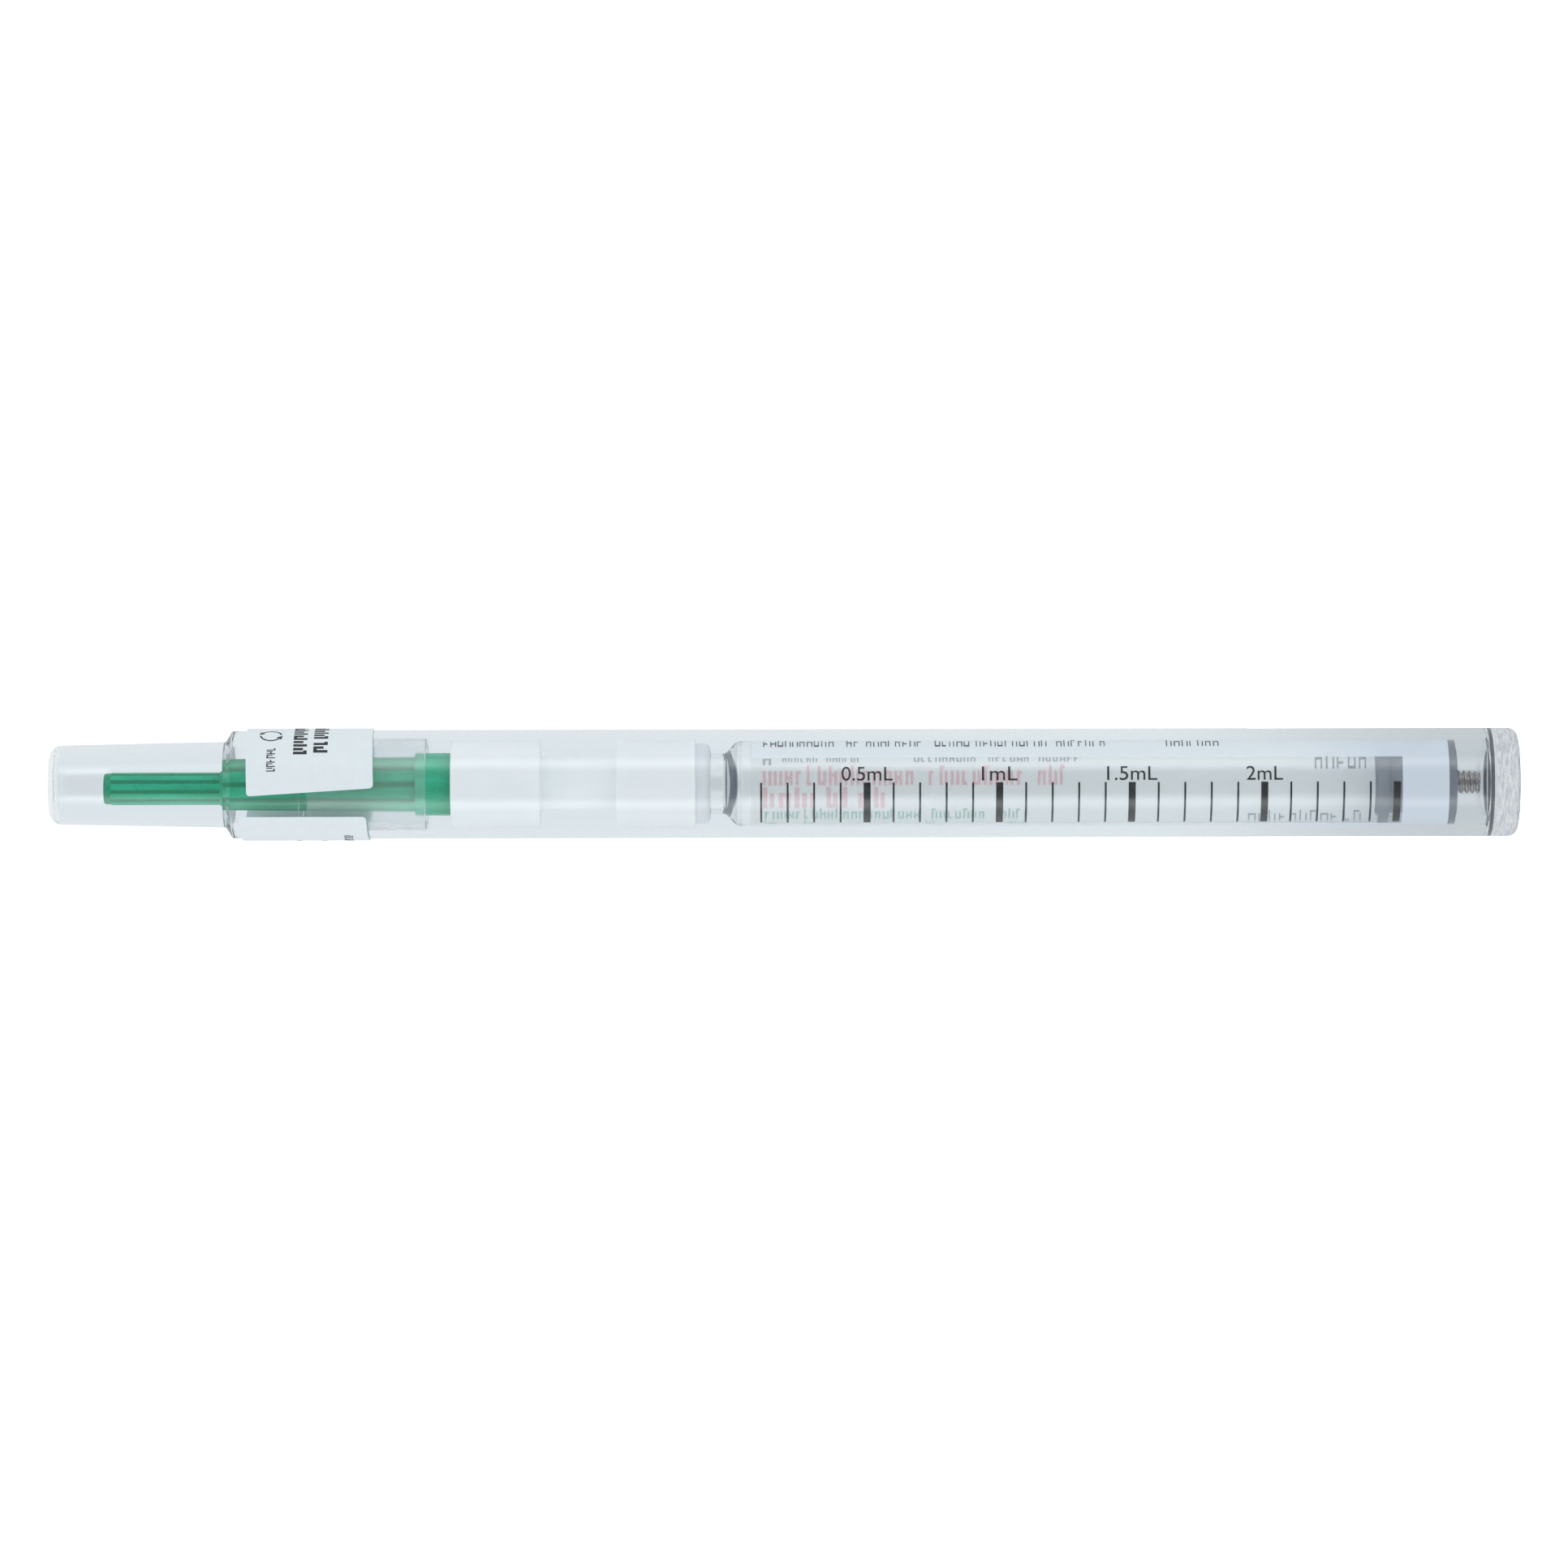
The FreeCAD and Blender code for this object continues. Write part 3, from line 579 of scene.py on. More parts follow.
def threadedStud():
    size = studSizes
    pitch, root, crest, flank = size["pitch"], size["root"], size["crest"], size["flank"]
    rise = [(root, 0), (crest, flank), (crest, flank + size["crestWidth"]),
            (root, 2 * flank + size["crestWidth"]), (root, pitch)]
    turns = math.ceil((size["threadHigh"] - size["threadLow"]) / pitch) + 2
    work = bmesh.new()
    low = size["threadLow"] - pitch * 1.5
    verts = [work.verts.new((r * mm, 0, (low + z) * mm)) for r, z in rise]
    edges = [work.edges.new(pair) for pair in zip(verts, verts[1:])]
    bmesh.ops.spin(work, geom=verts + edges, axis=axisZ, cent=(0, 0, 0), angle=math.tau * turns,
                   steps=size["steps"] * turns, dvec=(0, 0, pitch * mm / size["steps"]))
    bmesh.ops.remove_doubles(work, verts=work.verts, dist=0.001 * mm)
    for height, normal in ((size["threadLow"], -1), (size["threadHigh"], 1)):
        geometry = work.verts[:] + work.edges[:] + work.faces[:]
        cut = bmesh.ops.bisect_plane(work, geom=geometry, plane_co=(0, 0, height * mm),
                                     plane_no=(0, 0, normal), clear_outer=True)
        rim = [item for item in cut["geom_cut"] if isinstance(item, bmesh.types.BMEdge)]
        bmesh.ops.edgeloop_fill(work, edges=rim)
    shankLow = size["threadHigh"] - size["overlap"]
    headLow, headHigh = size["headLow"], size["headHigh"]
    shank = turnOutline([(0, shankLow), (size["shank"], shankLow), (size["shank"], headLow),
                         (size["head"], headLow), (size["head"], headHigh), (0, headHigh)], size["steps"])
    spare = bpy.data.meshes.new("spare")
    shank.to_mesh(spare)
    shank.free()
    work.from_mesh(spare)
    bpy.data.meshes.remove(spare)
    piece = finishPiece(work, "threaded_stud", "stud", "stopper", "steel")
    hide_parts("piston_stud")
    return piece


# Stopper as it sits in the bore: its ribs are squeezed flat against the glass
stopperSizes = {
    "rib": 3.445, "groove": 3.12, "ribHeight": 1.25, "corner": 0.15, "ribs": 3, "noseRise": 0.22,
    "rear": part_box("piston")[0].z / mm, "front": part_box("piston")[1].z / mm, "steps": 96,
    "pocket": 1.21, "seat": 2.01, "seatLow": 1.79, "seatTop": 2.61, "arcSteps": 5,
}


def squeezedStopper():
    size = stopperSizes
    rear, front, rib, groove = size["rear"], size["front"], size["rib"], size["groove"]
    bodyFront = front - size["noseRise"]
    pitch = (bodyFront - rear - size["ribHeight"]) / (size["ribs"] - 1)
    seatLow, seatTop = rear + size["seatLow"], rear + size["seatTop"]
    points = [(0, seatTop), (size["seat"], seatTop), (size["seat"], seatLow), (size["pocket"], seatLow),
              (size["pocket"], rear)]
    for index in range(size["ribs"]):
        low = rear + index * pitch
        high = low + size["ribHeight"]
        inner = size["pocket"] if index == 0 else groove
        if index > 0:
            points.append((groove, low))
        points += roundCorner((inner, low), (rib, low), (rib, high), size["corner"], size["arcSteps"])
        after = (0, front) if index == size["ribs"] - 1 else (groove, high)
        points += roundCorner((rib, low), (rib, high), after, size["corner"], size["arcSteps"])
        if index < size["ribs"] - 1:
            points.append((groove, high))
    points.append((0, front))
    work = turnOutline(points, size["steps"])
    piece = finishPiece(work, "squeezed_stopper", "darkRubber", "stopper", "dark_rubber")
    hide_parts("piston")
    return piece


# Clear pieces turned finely, so that light bends smoothly in them: corners as (radius, height, rounding)
turning = {"steps": 240, "arcDeg": 8, "fewest": 3, "ringGap": 0.06, "longGaps": 6}

tubeSizes = {
    "outer": 5.55, "bore": 4.75, "floor": 2.60, "rim": jointHeight / mm,
    "footRound": 0.95, "floorRound": 0.80, "rimRound": 0.15,
}


def tubeOutline():
    size = tubeSizes
    outer, bore, rim, floor = size["outer"], size["bore"], size["rim"], size["floor"]
    return [
        (0, 0), (outer, 0, size["footRound"]), (outer, rim, size["rimRound"]), (bore, rim, size["rimRound"]),
        (bore, floor, size["floorRound"]), (0, floor)]


capSizes = {
    "top": capBox[1].z / mm, "noseR": 4.02, "noseRound": 1.20, "noseFootR": 4.38, "noseWall": 0.80,
    "gripR": 5.50, "gripLow": 0.80, "gripTop": 7.85, "gripRound": 0.15, "shoulder": 0.72, "bend": 0.28,
    "landR": 5.20, "plugR": 4.70, "plugEnd": capBox[0].z / mm, "plugRound": 0.20,
    "innerR": 3.98, "innerNeckR": 3.66, "innerDrop": 0.36, "innerEndR": 3.30, "innerRound": 0.48,
}


def capOutline():
    size = capSizes
    rim, top, bend = jointHeight / mm, size["top"], size["bend"]
    gripLow, gripTop = rim + size["gripLow"], rim + size["gripTop"]
    nose, noseFloor = gripTop + size["shoulder"], top - size["noseWall"]
    outside = [
        (0, top), (size["noseR"], top, size["noseRound"]), (size["noseFootR"], nose, bend),
        (size["gripR"], gripTop, bend), (size["gripR"], gripLow, size["gripRound"])]
    plug = [
        (size["landR"], gripLow), (size["landR"], rim), (size["plugR"], rim),
        (size["plugR"], size["plugEnd"], size["plugRound"]),
        (size["innerR"], size["plugEnd"], size["plugRound"])]
    inside = [
        (size["innerR"], gripTop), (size["innerNeckR"], nose - size["innerDrop"], bend),
        (size["innerEndR"], noseFloor, size["innerRound"]), (0, noseFloor)]
    return outside + plug + inside


glassSizes = {
    "outer": 4.33, "bore": 3.43, "rimRound": 0.38, "shoulder": barrelFoot + 77.25, "shoulderRound": 1.0,
    "neck": barrelFoot + 78.35, "neckR": 3.10, "neckRound": 0.70, "neckBore": 1.75,
    "lip": barrelFoot + 80.15, "lipR": 3.83, "lipHeight": 2.90, "lipRearRound": 0.45, "lipRound": 0.20,
    "innerStart": barrelFoot + 76.93, "innerSlope": 1.1 / 1.23, "innerRound": 0.80,
}


def glassOutline():
    size = glassSizes
    outer, bore, neckR, neckBore = size["outer"], size["bore"], size["neckR"], size["neckBore"]
    lipR, lip, lipTop = size["lipR"], size["lip"], size["lip"] + size["lipHeight"]
    innerEnd = size["innerStart"] + size["innerSlope"] * (bore - neckBore)
    outside = [
        (bore, barrelFoot, size["rimRound"]), (outer, barrelFoot, size["rimRound"]),
        (outer, size["shoulder"], size["shoulderRound"]), (neckR, size["neck"], size["neckRound"]),
        (neckR, lip)]
    mouth = [
        (lipR, lip, size["lipRearRound"]), (lipR, lipTop, size["lipRound"]),
        (neckBore, lipTop, size["lipRound"])]
    inside = [(neckBore, innerEnd, size["neckRound"]), (bore, size["innerStart"], size["innerRound"])]
    return outside + mouth + inside


filmInner = 4.34


def filmOutline():
    outer, low, high = labelBox[1].x / mm, labelBox[0].z / mm, labelBox[1].z / mm
    return [(filmInner, low), (outer, low), (outer, high), (filmInner, high)]


# Rounded outline, with a ring close to each end of a straight stretch so that its shading stays straight
def smoothOutline(corners):
    onAxis = corners[0][0] == 0
    count = len(corners)
    points = []
    for index, corner in enumerate(corners):
        rounding = corner[2] if len(corner) > 2 else 0
        if not rounding:
            points.append(corner[:2])
            continue
        before, after = corners[index - 1], corners[(index + 1) % count]
        into = Vector(before[:2]) - Vector(corner[:2])
        bend = 180 - math.degrees(into.angle(Vector(after[:2]) - Vector(corner[:2])))
        steps = max(turning["fewest"], math.ceil(bend / turning["arcDeg"]))
        points += roundCorner(before[:2], corner[:2], after[:2], rounding, steps)
    if not onAxis:
        points.append(points[0])
    finer = [points[0]]
    for low, high in zip(points, points[1:]):
        step = Vector(high) - Vector(low)
        if step.length > turning["longGaps"] * turning["ringGap"]:
            gap = step.normalized() * turning["ringGap"]
            finer += [tuple(Vector(low) + gap), tuple(Vector(high) - gap)]
        finer.append(high)
    return finer


def clearPieces():
    made = {
        "package_tube": (tubeOutline(), "tube_moulding", "tube", "package", "clear_tube"),
        "package_cap": (capOutline(), "cap_moulding", "cap", "cap", "clear_cap"),
        "glass_barrel": (glassOutline(), "glass_wall", "glass", "package", "barrel_glass"),
        "barrel_label": (filmOutline(), "label_wrap", "film", "package", "label_film"),
    }
    for nodeName, (corners, *naming) in made.items():
        work = turnOutline(smoothOutline(corners), turning["steps"])
        piece = finishPiece(work, *naming)
        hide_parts(nodeName)


liquidColumn()
threadedStud()
squeezedStopper()
clearPieces()
print("liquid, stud, stopper and clear pieces made")


# Print on the label. It goes through the film, so it shows on both faces.
printSizes = {"outer": 4.397, "inner": 4.334, "turnStep": 4.0}


# A patch of print as a closed thin block: heights in millimetres, turns in degrees from the front towards +X
def inkPatch(work, low, high, fromTurn, toTurn, inner=None, outer=None):
    inner = inner or printSizes["inner"]
    outer = outer or printSizes["outer"]
    rows = max(1, math.ceil(abs(toTurn - fromTurn) / printSizes["turnStep"]))
    made = bmesh.ops.create_grid(work, x_segments=1, y_segments=rows, size=1.0)["verts"]
    for vert in made:
        share = (vert.co.y + 1) / 2
        turn = math.radians(fromTurn + (toTurn - fromTurn) * share)
        height = low if vert.co.x < 0 else high
        vert.co = (inner * mm * math.sin(turn), -inner * mm * math.cos(turn), height * mm)
    faces = list({face for vert in made for face in vert.link_faces})
    grown = bmesh.ops.extrude_face_region(work, geom=faces)["geom"]
    for vert in (item for item in grown if isinstance(item, bmesh.types.BMVert)):
        flat = Vector((vert.co.x, vert.co.y, 0)).normalized() * (outer - inner) * mm
        vert.co += flat


# Strokes of one stand-in character, as (from, to, bottom, top) shares of its width and height
def standInStrokes(dice, weight, tallShare, crossShare, crossSize=0.16):
    top = 1.0 if dice.random() < tallShare else 0.72
    strokes = [(0.0, weight, 0.0, top)]
    if dice.random() < 0.75:
        strokes.append((1 - weight, 1.0, 0.0, min(top, 0.72)))
    if dice.random() < crossShare:
        level = dice.choice((0.0, 0.36, 0.72)) * (top - crossSize) / 0.72
        strokes.append((weight, 1 - weight, level, level + crossSize))
    return strokes


# A row of stand-in characters in word groups along the barrel
def strokeRow(work, row, seed):
    dice = random.Random(seed)
    base, top = row["turns"]
    letter = row["letter"]
    for start, end in row["runs"]:
        height = barrelFoot + end
        while height - letter * 0.6 > barrelFoot + start:
            wide = letter * dice.uniform(0.66, 0.82)
            for fromU, toU, low, high in standInStrokes(dice, row["weight"], 0.3, row["cross"]):
                inkPatch(work, height - wide * toU, height - wide * fromU,
                         base + (top - base) * low, base + (top - base) * high)
            height -= letter


scaleLook = {
    "firstBar": barrelFoot + 74.71, "step": 2.6975, "bars": 25, "thin": 0.20, "thick": 0.72, "every": 5,
    "fromTurn": 1.0, "toTurn": -59.5, "numberLow": 3.3, "numberHigh": 21.6,
    "numbers": {5: ("0.5mL", 5.20), 10: ("1mL", 3.62), 15: ("1.5mL", 5.10), 20: ("2mL", 3.72)},
}


def scaleBars():
    look = scaleLook
    work = bmesh.new()
    for index in range(look["bars"]):
        middle = look["firstBar"] - index * look["step"]
        width = look["thick"] if (index + 1) % look["every"] == 0 else look["thin"]
        inkPatch(work, middle - width / 2, middle + width / 2, look["toTurn"], look["fromTurn"])
    return finishPiece(work, "scale_bars", "blackInk", "package", "label_film")


# Text of the scale's numbers, bent round the barrel and given the film's thickness
def scaleNumbers():
    look = scaleLook
    work = bmesh.new()
    outer, inner = printSizes["outer"], printSizes["inner"]
    for index, (words, width) in look["numbers"].items():
        curve = bpy.data.curves.new("numberText", "FONT")
        curve.body = words
        curve.resolution_u = 5
        text = bpy.data.objects.new("numberText", curve)
        mesh = bpy.data.meshes.new_from_object(text)
        flat = bmesh.new()
        flat.from_mesh(mesh)
        bmesh.ops.remove_doubles(flat, verts=flat.verts, dist=1e-5)
        lowX, highX = min(v.co.x for v in flat.verts), max(v.co.x for v in flat.verts)
        lowY, highY = min(v.co.y for v in flat.verts), max(v.co.y for v in flat.verts)
        tall = math.radians(look["numberHigh"] - look["numberLow"]) * outer
        for vert in flat.verts:
            vert.co.x = ((vert.co.x - lowX) / (highX - lowX) - 0.5) * width
            vert.co.y = (vert.co.y - lowY) / (highY - lowY) * tall
        for cutIndex in range(1, 6):
            bmesh.ops.bisect_plane(flat, geom=flat.verts[:] + flat.edges[:] + flat.faces[:],
                                   plane_co=(0, tall * cutIndex / 6, 0), plane_no=(0, 1, 0))
        bmesh.ops.triangulate(flat, faces=flat.faces)
        middle = look["firstBar"] - (index - 1) * look["step"]
        startTurn = math.radians(look["numberLow"])
        for vert in flat.verts:
            turn = startTurn + vert.co.y / outer
            vert.co = (inner * mm * math.sin(turn), -inner * mm * math.cos(turn), (middle - vert.co.x) * mm)
        grown = bmesh.ops.extrude_face_region(flat, geom=flat.faces[:])["geom"]
        for vert in (item for item in grown if isinstance(item, bmesh.types.BMVert)):
            vert.co += Vector((vert.co.x, vert.co.y, 0)).normalized() * (outer - inner) * mm
        spare = bpy.data.meshes.new("spare")
        flat.to_mesh(spare)
        flat.free()
        work.from_mesh(spare)
        for data in (spare, mesh):
            bpy.data.meshes.remove(data)
        bpy.data.objects.remove(text)
        bpy.data.curves.remove(curve)
    return finishPiece(work, "scale_numbers", "blackInk", "package", "label_film", smooth=False)


# Rows of stand-in print, by ink: runs along the axis in millimetres, turns round it in degrees
rowLook = [
    {"ink": "black", "turns": (54.0, 73.5), "letter": 0.74, "weight": 0.20, "cross": 0.4,
     "runs": [(39.2, 44.6), (45.3, 52.8), (53.5, 57.0), (57.8, 64.0), (64.7, 66.0), (66.8, 74.5)]},
    {"ink": "black", "turns": (54.0, 73.5), "letter": 0.80, "weight": 0.20, "cross": 0.4,
     "runs": [(27.6, 33.4)]},
    {"ink": "grey", "turns": (165.0, 157.6), "letter": 1.2, "weight": 0.3, "cross": 0.8,
     "runs": [(73.2, 74.5)]},
    {"ink": "grey", "turns": (162.5, 158.0), "letter": 0.62, "weight": 0.3, "cross": 0.8,
     "runs": [(64.1, 68.0), (68.6, 72.5)]},
    {"ink": "grey", "turns": (162.5, 157.0), "letter": 0.72, "weight": 0.3, "cross": 0.8,
     "runs": [(42.1, 46.4), (47.1, 51.5), (52.2, 59.1)]},
    {"ink": "grey", "turns": (169.0, 155.5), "letter": 1.12, "weight": 0.22, "cross": 0.8,
     "runs": [(12.5, 18.3)]},
    {"ink": "grey", "turns": (213.0, 203.0), "letter": 1.05, "weight": 0.2, "cross": 0.8,
     "runs": [(13.1, 15.4), (16.0, 25.1)]},
    {"ink": "red", "turns": (181.5, 165.5), "letter": 1.12, "weight": 0.36, "cross": 0.8,
     "runs": [(42.6, 46.5), (47.2, 57.6), (58.5, 74.5)]},
    {"ink": "red", "turns": (200.0, 183.0), "letter": 1.62, "weight": 0.40, "cross": 0.8,
     "runs": [(61.0, 74.5)]},
    {"ink": "green", "turns": (210.5, 201.0), "letter": 0.80, "weight": 0.32, "cross": 0.8,
     "runs": [(47.3, 50.3), (51.8, 57.3), (57.9, 74.3)]},
    {"ink": "green", "turns": (217.5, 212.5), "letter": 0.7, "weight": 0.3, "cross": 0.8,
     "runs": [(73.1, 74.3), (68.5, 70.3), (56.3, 57.9), (47.1, 49.5)]},
]
firstSeed = 40


def labelPrint():
    for ink in ("black", "grey", "red", "green"):
        rows = [row for row in rowLook if row["ink"] == ink]
        work = bmesh.new()
        for index, row in enumerate(rows):
            strokeRow(work, row, firstSeed + index)
        finishPiece(work, ink + "_print_rows", ink + "Ink", "package", "label_film")


scaleBars()
scaleNumbers()
labelPrint()
print("label print made")


# Print on the tamper seal: turning arrows, a thin row and two bold rows. What crosses the joint is cut there.
sealPrint = {
    "inner": 5.71, "outer": 5.738, "arrowHeight": jointHeight / mm + 3.75, "arrowTurn": 61.0,
    "arrowSize": (1.05, 0.95), "arrowWidth": 0.17, "gapDeg": 38, "endDeg": 6, "arrowSteps": 14,
    "headLength": 0.62, "headWidth": 0.62, "deep": (0.018, 0.019, 0.022), "worn": (0.05, 0.052, 0.058),
}


# A closed polygon drawn on the seal, as (height, distance round) points in millimetres from its middle
def sealShape(work, middle, turn, points):
    inner, outer = sealPrint["inner"], sealPrint["outer"]
    ring = []
    for height, around in points:
        angle = math.radians(turn) + around / outer
        place = (inner * mm * math.sin(angle), -inner * mm * math.cos(angle), (middle + height) * mm)
        ring.append(work.verts.new(place))
    face = work.faces.new(ring)
    grown = bmesh.ops.extrude_face_region(work, geom=[face])["geom"]
    for vert in (item for item in grown if isinstance(item, bmesh.types.BMVert)):
        vert.co += Vector((vert.co.x, vert.co.y, 0)).normalized() * (outer - inner) * mm


def turningArrows(work):
    look = sealPrint
    long, across = look["arrowSize"]
    steps = look["arrowSteps"]
    for side in (0, 1):
        first = 180 * side + look["gapDeg"]
        last = 180 * side + 180 - look["endDeg"]
        for index in range(steps):
            corners = []
            for share, width in ((index, 1), (index + 1, 1), (index + 1, -1), (index, -1)):
                angle = math.radians(first + (last - first) * share / steps)
                grow = 1 + width * look["arrowWidth"] / 2
                corners.append((long * grow * math.cos(angle), across * grow * math.sin(angle)))
            sealShape(work, look["arrowHeight"], look["arrowTurn"], corners)
        tip = math.radians(first)
        at = (long * math.cos(tip), across * math.sin(tip))
        way = (math.sin(tip), -math.cos(tip))
        out = (math.cos(tip), math.sin(tip))
        half, head = look["headWidth"] / 2, look["headLength"]
        sealShape(work, look["arrowHeight"], look["arrowTurn"], [
            (at[0] + out[0] * half, at[1] + out[1] * half), (at[0] - out[0] * half, at[1] - out[1] * half),
            (at[0] + way[0] * head, at[1] + way[1] * head)])


# Rows that run round the tube, their characters standing between two heights
def roundRow(work, low, high, turns, letterDeg, weight, seed):
    dice = random.Random(seed)
    turn, last = turns
    while turn + letterDeg * 0.8 < last:
        for fromU, toU, bottom, top in standInStrokes(dice, weight, 1.0, 0.85, weight * 0.62):
            inkPatch(work, high - (high - low) * top, high - (high - low) * bottom,
                     turn + letterDeg * 0.82 * fromU, turn + letterDeg * 0.82 * toU,
                     sealPrint["inner"], sealPrint["outer"])
        turn += letterDeg


def sealMarks():
    capWork, tubeWork = bmesh.new(), bmesh.new()
    turningArrows(capWork)
    joint = jointHeight / mm
    roundRow(capWork, joint + 3.20, joint + 4.08, (13.5, 42.5), 4.8, 0.26, 5)
    roundRow(capWork, joint + 0.01, joint + 1.40, (32.5, 92.0), 10.0, 0.40, 9)
    roundRow(tubeWork, joint - 2.10, joint - 0.65, (34.5, 94.0), 10.0, 0.40, 12)
    roundRow(capWork, joint + 0.75, joint + 1.25, (-92.0, -76.0), 9.0, 0.36, 3)
    roundRow(tubeWork, joint - 1.85, joint - 1.35, (-92.0, -76.0), 9.0, 0.36, 3)
    roundRow(tubeWork, joint - 4.55, joint - 3.65, (-88.0, -63.0), 4.8, 0.28, 6)
    finishPiece(capWork, "seal_marks_cap", "sealInk", "cap", "seal_paper")
    finishPiece(tubeWork, "seal_marks_tube", "sealInk", "package", "seal_paper")


def sealInkFinish():
    material, tree, shader = newMaterial("sealInk")
    speckle = noise(tree, 3000, (1, 1, 1), 3)
    ink = colourMix(tree, mapped(tree, speckle, 0.4, 0.8, 0, 1), sealPrint["deep"], sealPrint["worn"])
    tree.links.new(ink, shader.inputs["Base Color"])
    tree.links.new(spread(tree, speckle, 0.38, 0.58), shader.inputs["Roughness"])
    addBump(tree, shader, speckle, 0.08, 0.01 * mm)
    return material


finishes["sealInk"] = sealInkFinish()
sealMarks()
print("seal print made")


# Floor, studio and camera

studio = {
    "floorRadius": 0.45, "floorDrop": 0.2 * mm, "floorGlow": 0.78,
    "floorWhite": (0.88, 0.89, 0.90), "floorPaler": (0.90, 0.905, 0.91),
    "behind": (0.745, 0.80, 0.83), "side": (0.70, 0.76, 0.79), "sideRange": (-0.6, 0.1),
    "front": (0.13, 0.14, 0.155), "frontRange": (0.72, 0.93), "frontLevel": (0.15, 0.32),
    "fill": (0.93, 0.95, 0.965), "backdropGlow": 1.1,
    "stripTurn": 47.5, "stripInner": 4.0, "stripOuter": 15.0, "stripGain": 0.85, "stripEnd": (0.65, 0.80),
    "lowGlow": 0.76, "lowFrom": -0.045, "lowTo": -0.092, "cameraGlow": 0.8, "cameraTurn": (4.0, 11.0),
    "lens": 171.8, "sensor": 36.0, "distance": 0.766, "aimHeight": 74.98 * mm,
    "aimAcross": -0.04 * mm, "roll": math.radians(0.13),
}


def paleFloor():
    work = bmesh.new()
    bmesh.ops.create_circle(work, cap_ends=True, segments=96, radius=studio["floorRadius"],
                            matrix=Matrix.Translation((0, 0, -studio["floorDrop"])))
    mesh = bpy.data.meshes.new("studio_floor")
    work.to_mesh(mesh)
    work.free()
    floor = bpy.data.objects.new("studio_floor", mesh)
    bpy.context.scene.collection.objects.link(floor)
    material, tree, shader = newMaterial("studioPaper")
    grain = noise(tree, 40, (1, 1, 1), 3)
    white = colourMix(tree, spread(tree, grain), studio["floorWhite"], studio["floorPaler"])
    tree.links.new(white, shader.inputs["Base Color"])
    setSockets(shader, roughness=0.9, shine=0.0)
    shader.inputs["Emission Color"].default_value = (1, 1, 1, 1)
    shader.inputs["Emission Strength"].default_value = studio["floorGlow"]
    mesh.materials.append(material)
    for name in ("visible_glossy", "visible_transmission", "visible_diffuse", "visible_shadow"):
        setattr(floor, name, False)


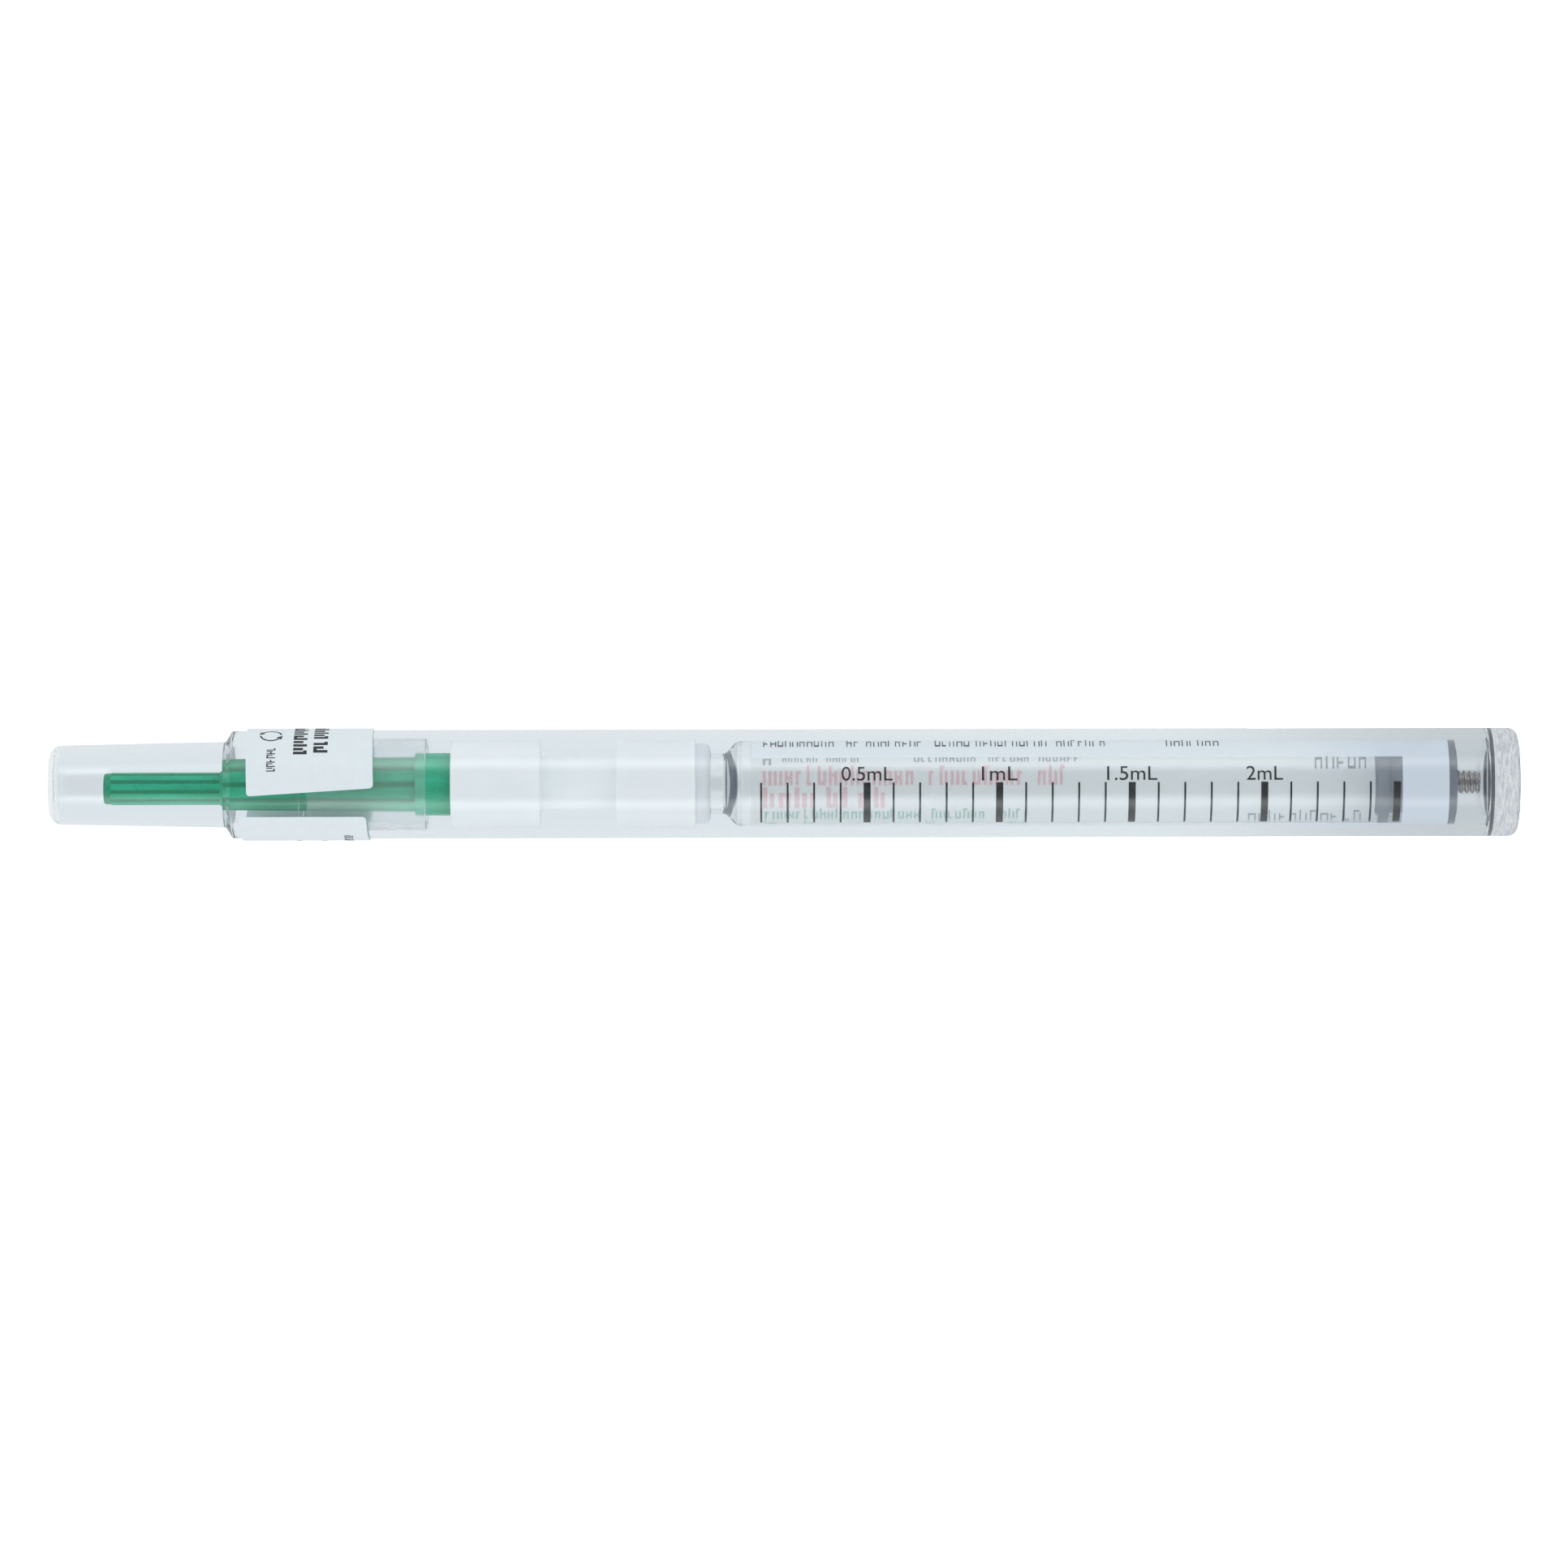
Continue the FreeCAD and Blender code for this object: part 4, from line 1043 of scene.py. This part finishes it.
def softStudio():
    world = bpy.data.worlds.new("softStudio")
    bpy.context.scene.world = world
    world.use_nodes = True
    tree = world.node_tree
    background = tree.nodes["Background"]
    coords = addNode(tree, "ShaderNodeTexCoord")
    parts = addNode(tree, "ShaderNodeSeparateXYZ")
    tree.links.new(coords.outputs["Generated"], parts.inputs["Vector"])
    x, y, z = parts.outputs["X"], parts.outputs["Y"], parts.outputs["Z"]
    frontness = maths(tree, "MULTIPLY", y, -1.0)
    turn = amount(tree, maths(tree, "MULTIPLY", maths(tree, "ARCTAN2", x, frontness), 180 / math.pi))
    sideways = mapped(tree, frontness, *studio["sideRange"], 0, 1, True)
    base = colourMix(tree, sideways, studio["behind"], studio["side"])
    level = mapped(tree, amount(tree, z), *studio["frontLevel"], 1, 0, True)
    ahead = maths(tree, "MULTIPLY", mapped(tree, frontness, *studio["frontRange"], 0, 1, True), level)
    base = colourMix(tree, ahead, base, studio["front"])
    off = amount(tree, maths(tree, "SUBTRACT", turn, studio["stripTurn"]))
    strip = mapped(tree, off, studio["stripInner"], studio["stripOuter"], studio["stripGain"], 0, True)
    level = mapped(tree, amount(tree, z), *studio["stripEnd"], 1, 0, True)
    strip = maths(tree, "MULTIPLY", strip, level)
    combine = addNode(tree, "ShaderNodeVectorMath", operation="ADD")
    tree.links.new(base, combine.inputs[0])
    tree.links.new(strip, combine.inputs[1])
    below = mapped(tree, z, studio["lowTo"], studio["lowFrom"], studio["lowGlow"], 1, True)
    ahead = mapped(tree, turn, *studio["cameraTurn"], studio["cameraGlow"], 1, True)
    dim = maths(tree, "MULTIPLY", below, ahead)
    dimmed = addNode(tree, "ShaderNodeVectorMath", operation="SCALE")
    tree.links.new(combine.outputs["Vector"], dimmed.inputs[0])
    tree.links.new(dim, dimmed.inputs["Scale"])
    tree.links.new(dimmed.outputs["Vector"], background.inputs["Color"])
    world.cycles.sampling_method = "NONE"
    path = addNode(tree, "ShaderNodeLightPath")
    last = background.outputs[0]
    rays = (("Is Diffuse Ray", studio["fill"], 1.0), ("Is Camera Ray", (1, 1, 1), studio["backdropGlow"]))
    for kind, colour, strength in rays:
        plain = addNode(tree, "ShaderNodeBackground")
        plain.inputs["Color"].default_value = (*colour, 1)
        plain.inputs["Strength"].default_value = strength
        mix = addNode(tree, "ShaderNodeMixShader")
        tree.links.new(path.outputs[kind], mix.inputs[0])
        tree.links.new(last, mix.inputs[1])
        tree.links.new(plain.outputs[0], mix.inputs[2])
        last = mix.outputs[0]
    tree.links.new(last, tree.nodes["World Output"].inputs["Surface"])


# The photograph is taken square on, with the object's axis level across the picture
def photoCamera():
    lens = bpy.data.cameras.new("photoCamera")
    lens.lens, lens.sensor_width = studio["lens"], studio["sensor"]
    lens.clip_start, lens.clip_end = 0.01, 20
    camera = bpy.data.objects.new("photoCamera", lens)
    bpy.context.scene.collection.objects.link(camera)
    turn, lean = math.cos(studio["roll"]), math.sin(studio["roll"])
    right, up, back = Vector((-lean, 0, -turn)), Vector((turn, 0, -lean)), Vector((0, -1, 0))
    axes = Matrix((right, up, back)).transposed().to_4x4()
    place = (studio["aimAcross"], -studio["distance"], studio["aimHeight"])
    camera.matrix_world = Matrix.Translation(place) @ axes
    bpy.context.scene.camera = camera


paleFloor()
softStudio()
photoCamera()
scene = bpy.context.scene
scene.view_settings.view_transform = "Standard"
scene.view_settings.look = "None"
cycles = scene.cycles
cycles.max_bounces, cycles.transmission_bounces, cycles.glossy_bounces = 24, 24, 12
cycles.transparent_max_bounces = 48
cycles.use_adaptive_sampling = False
print("studio and camera set")
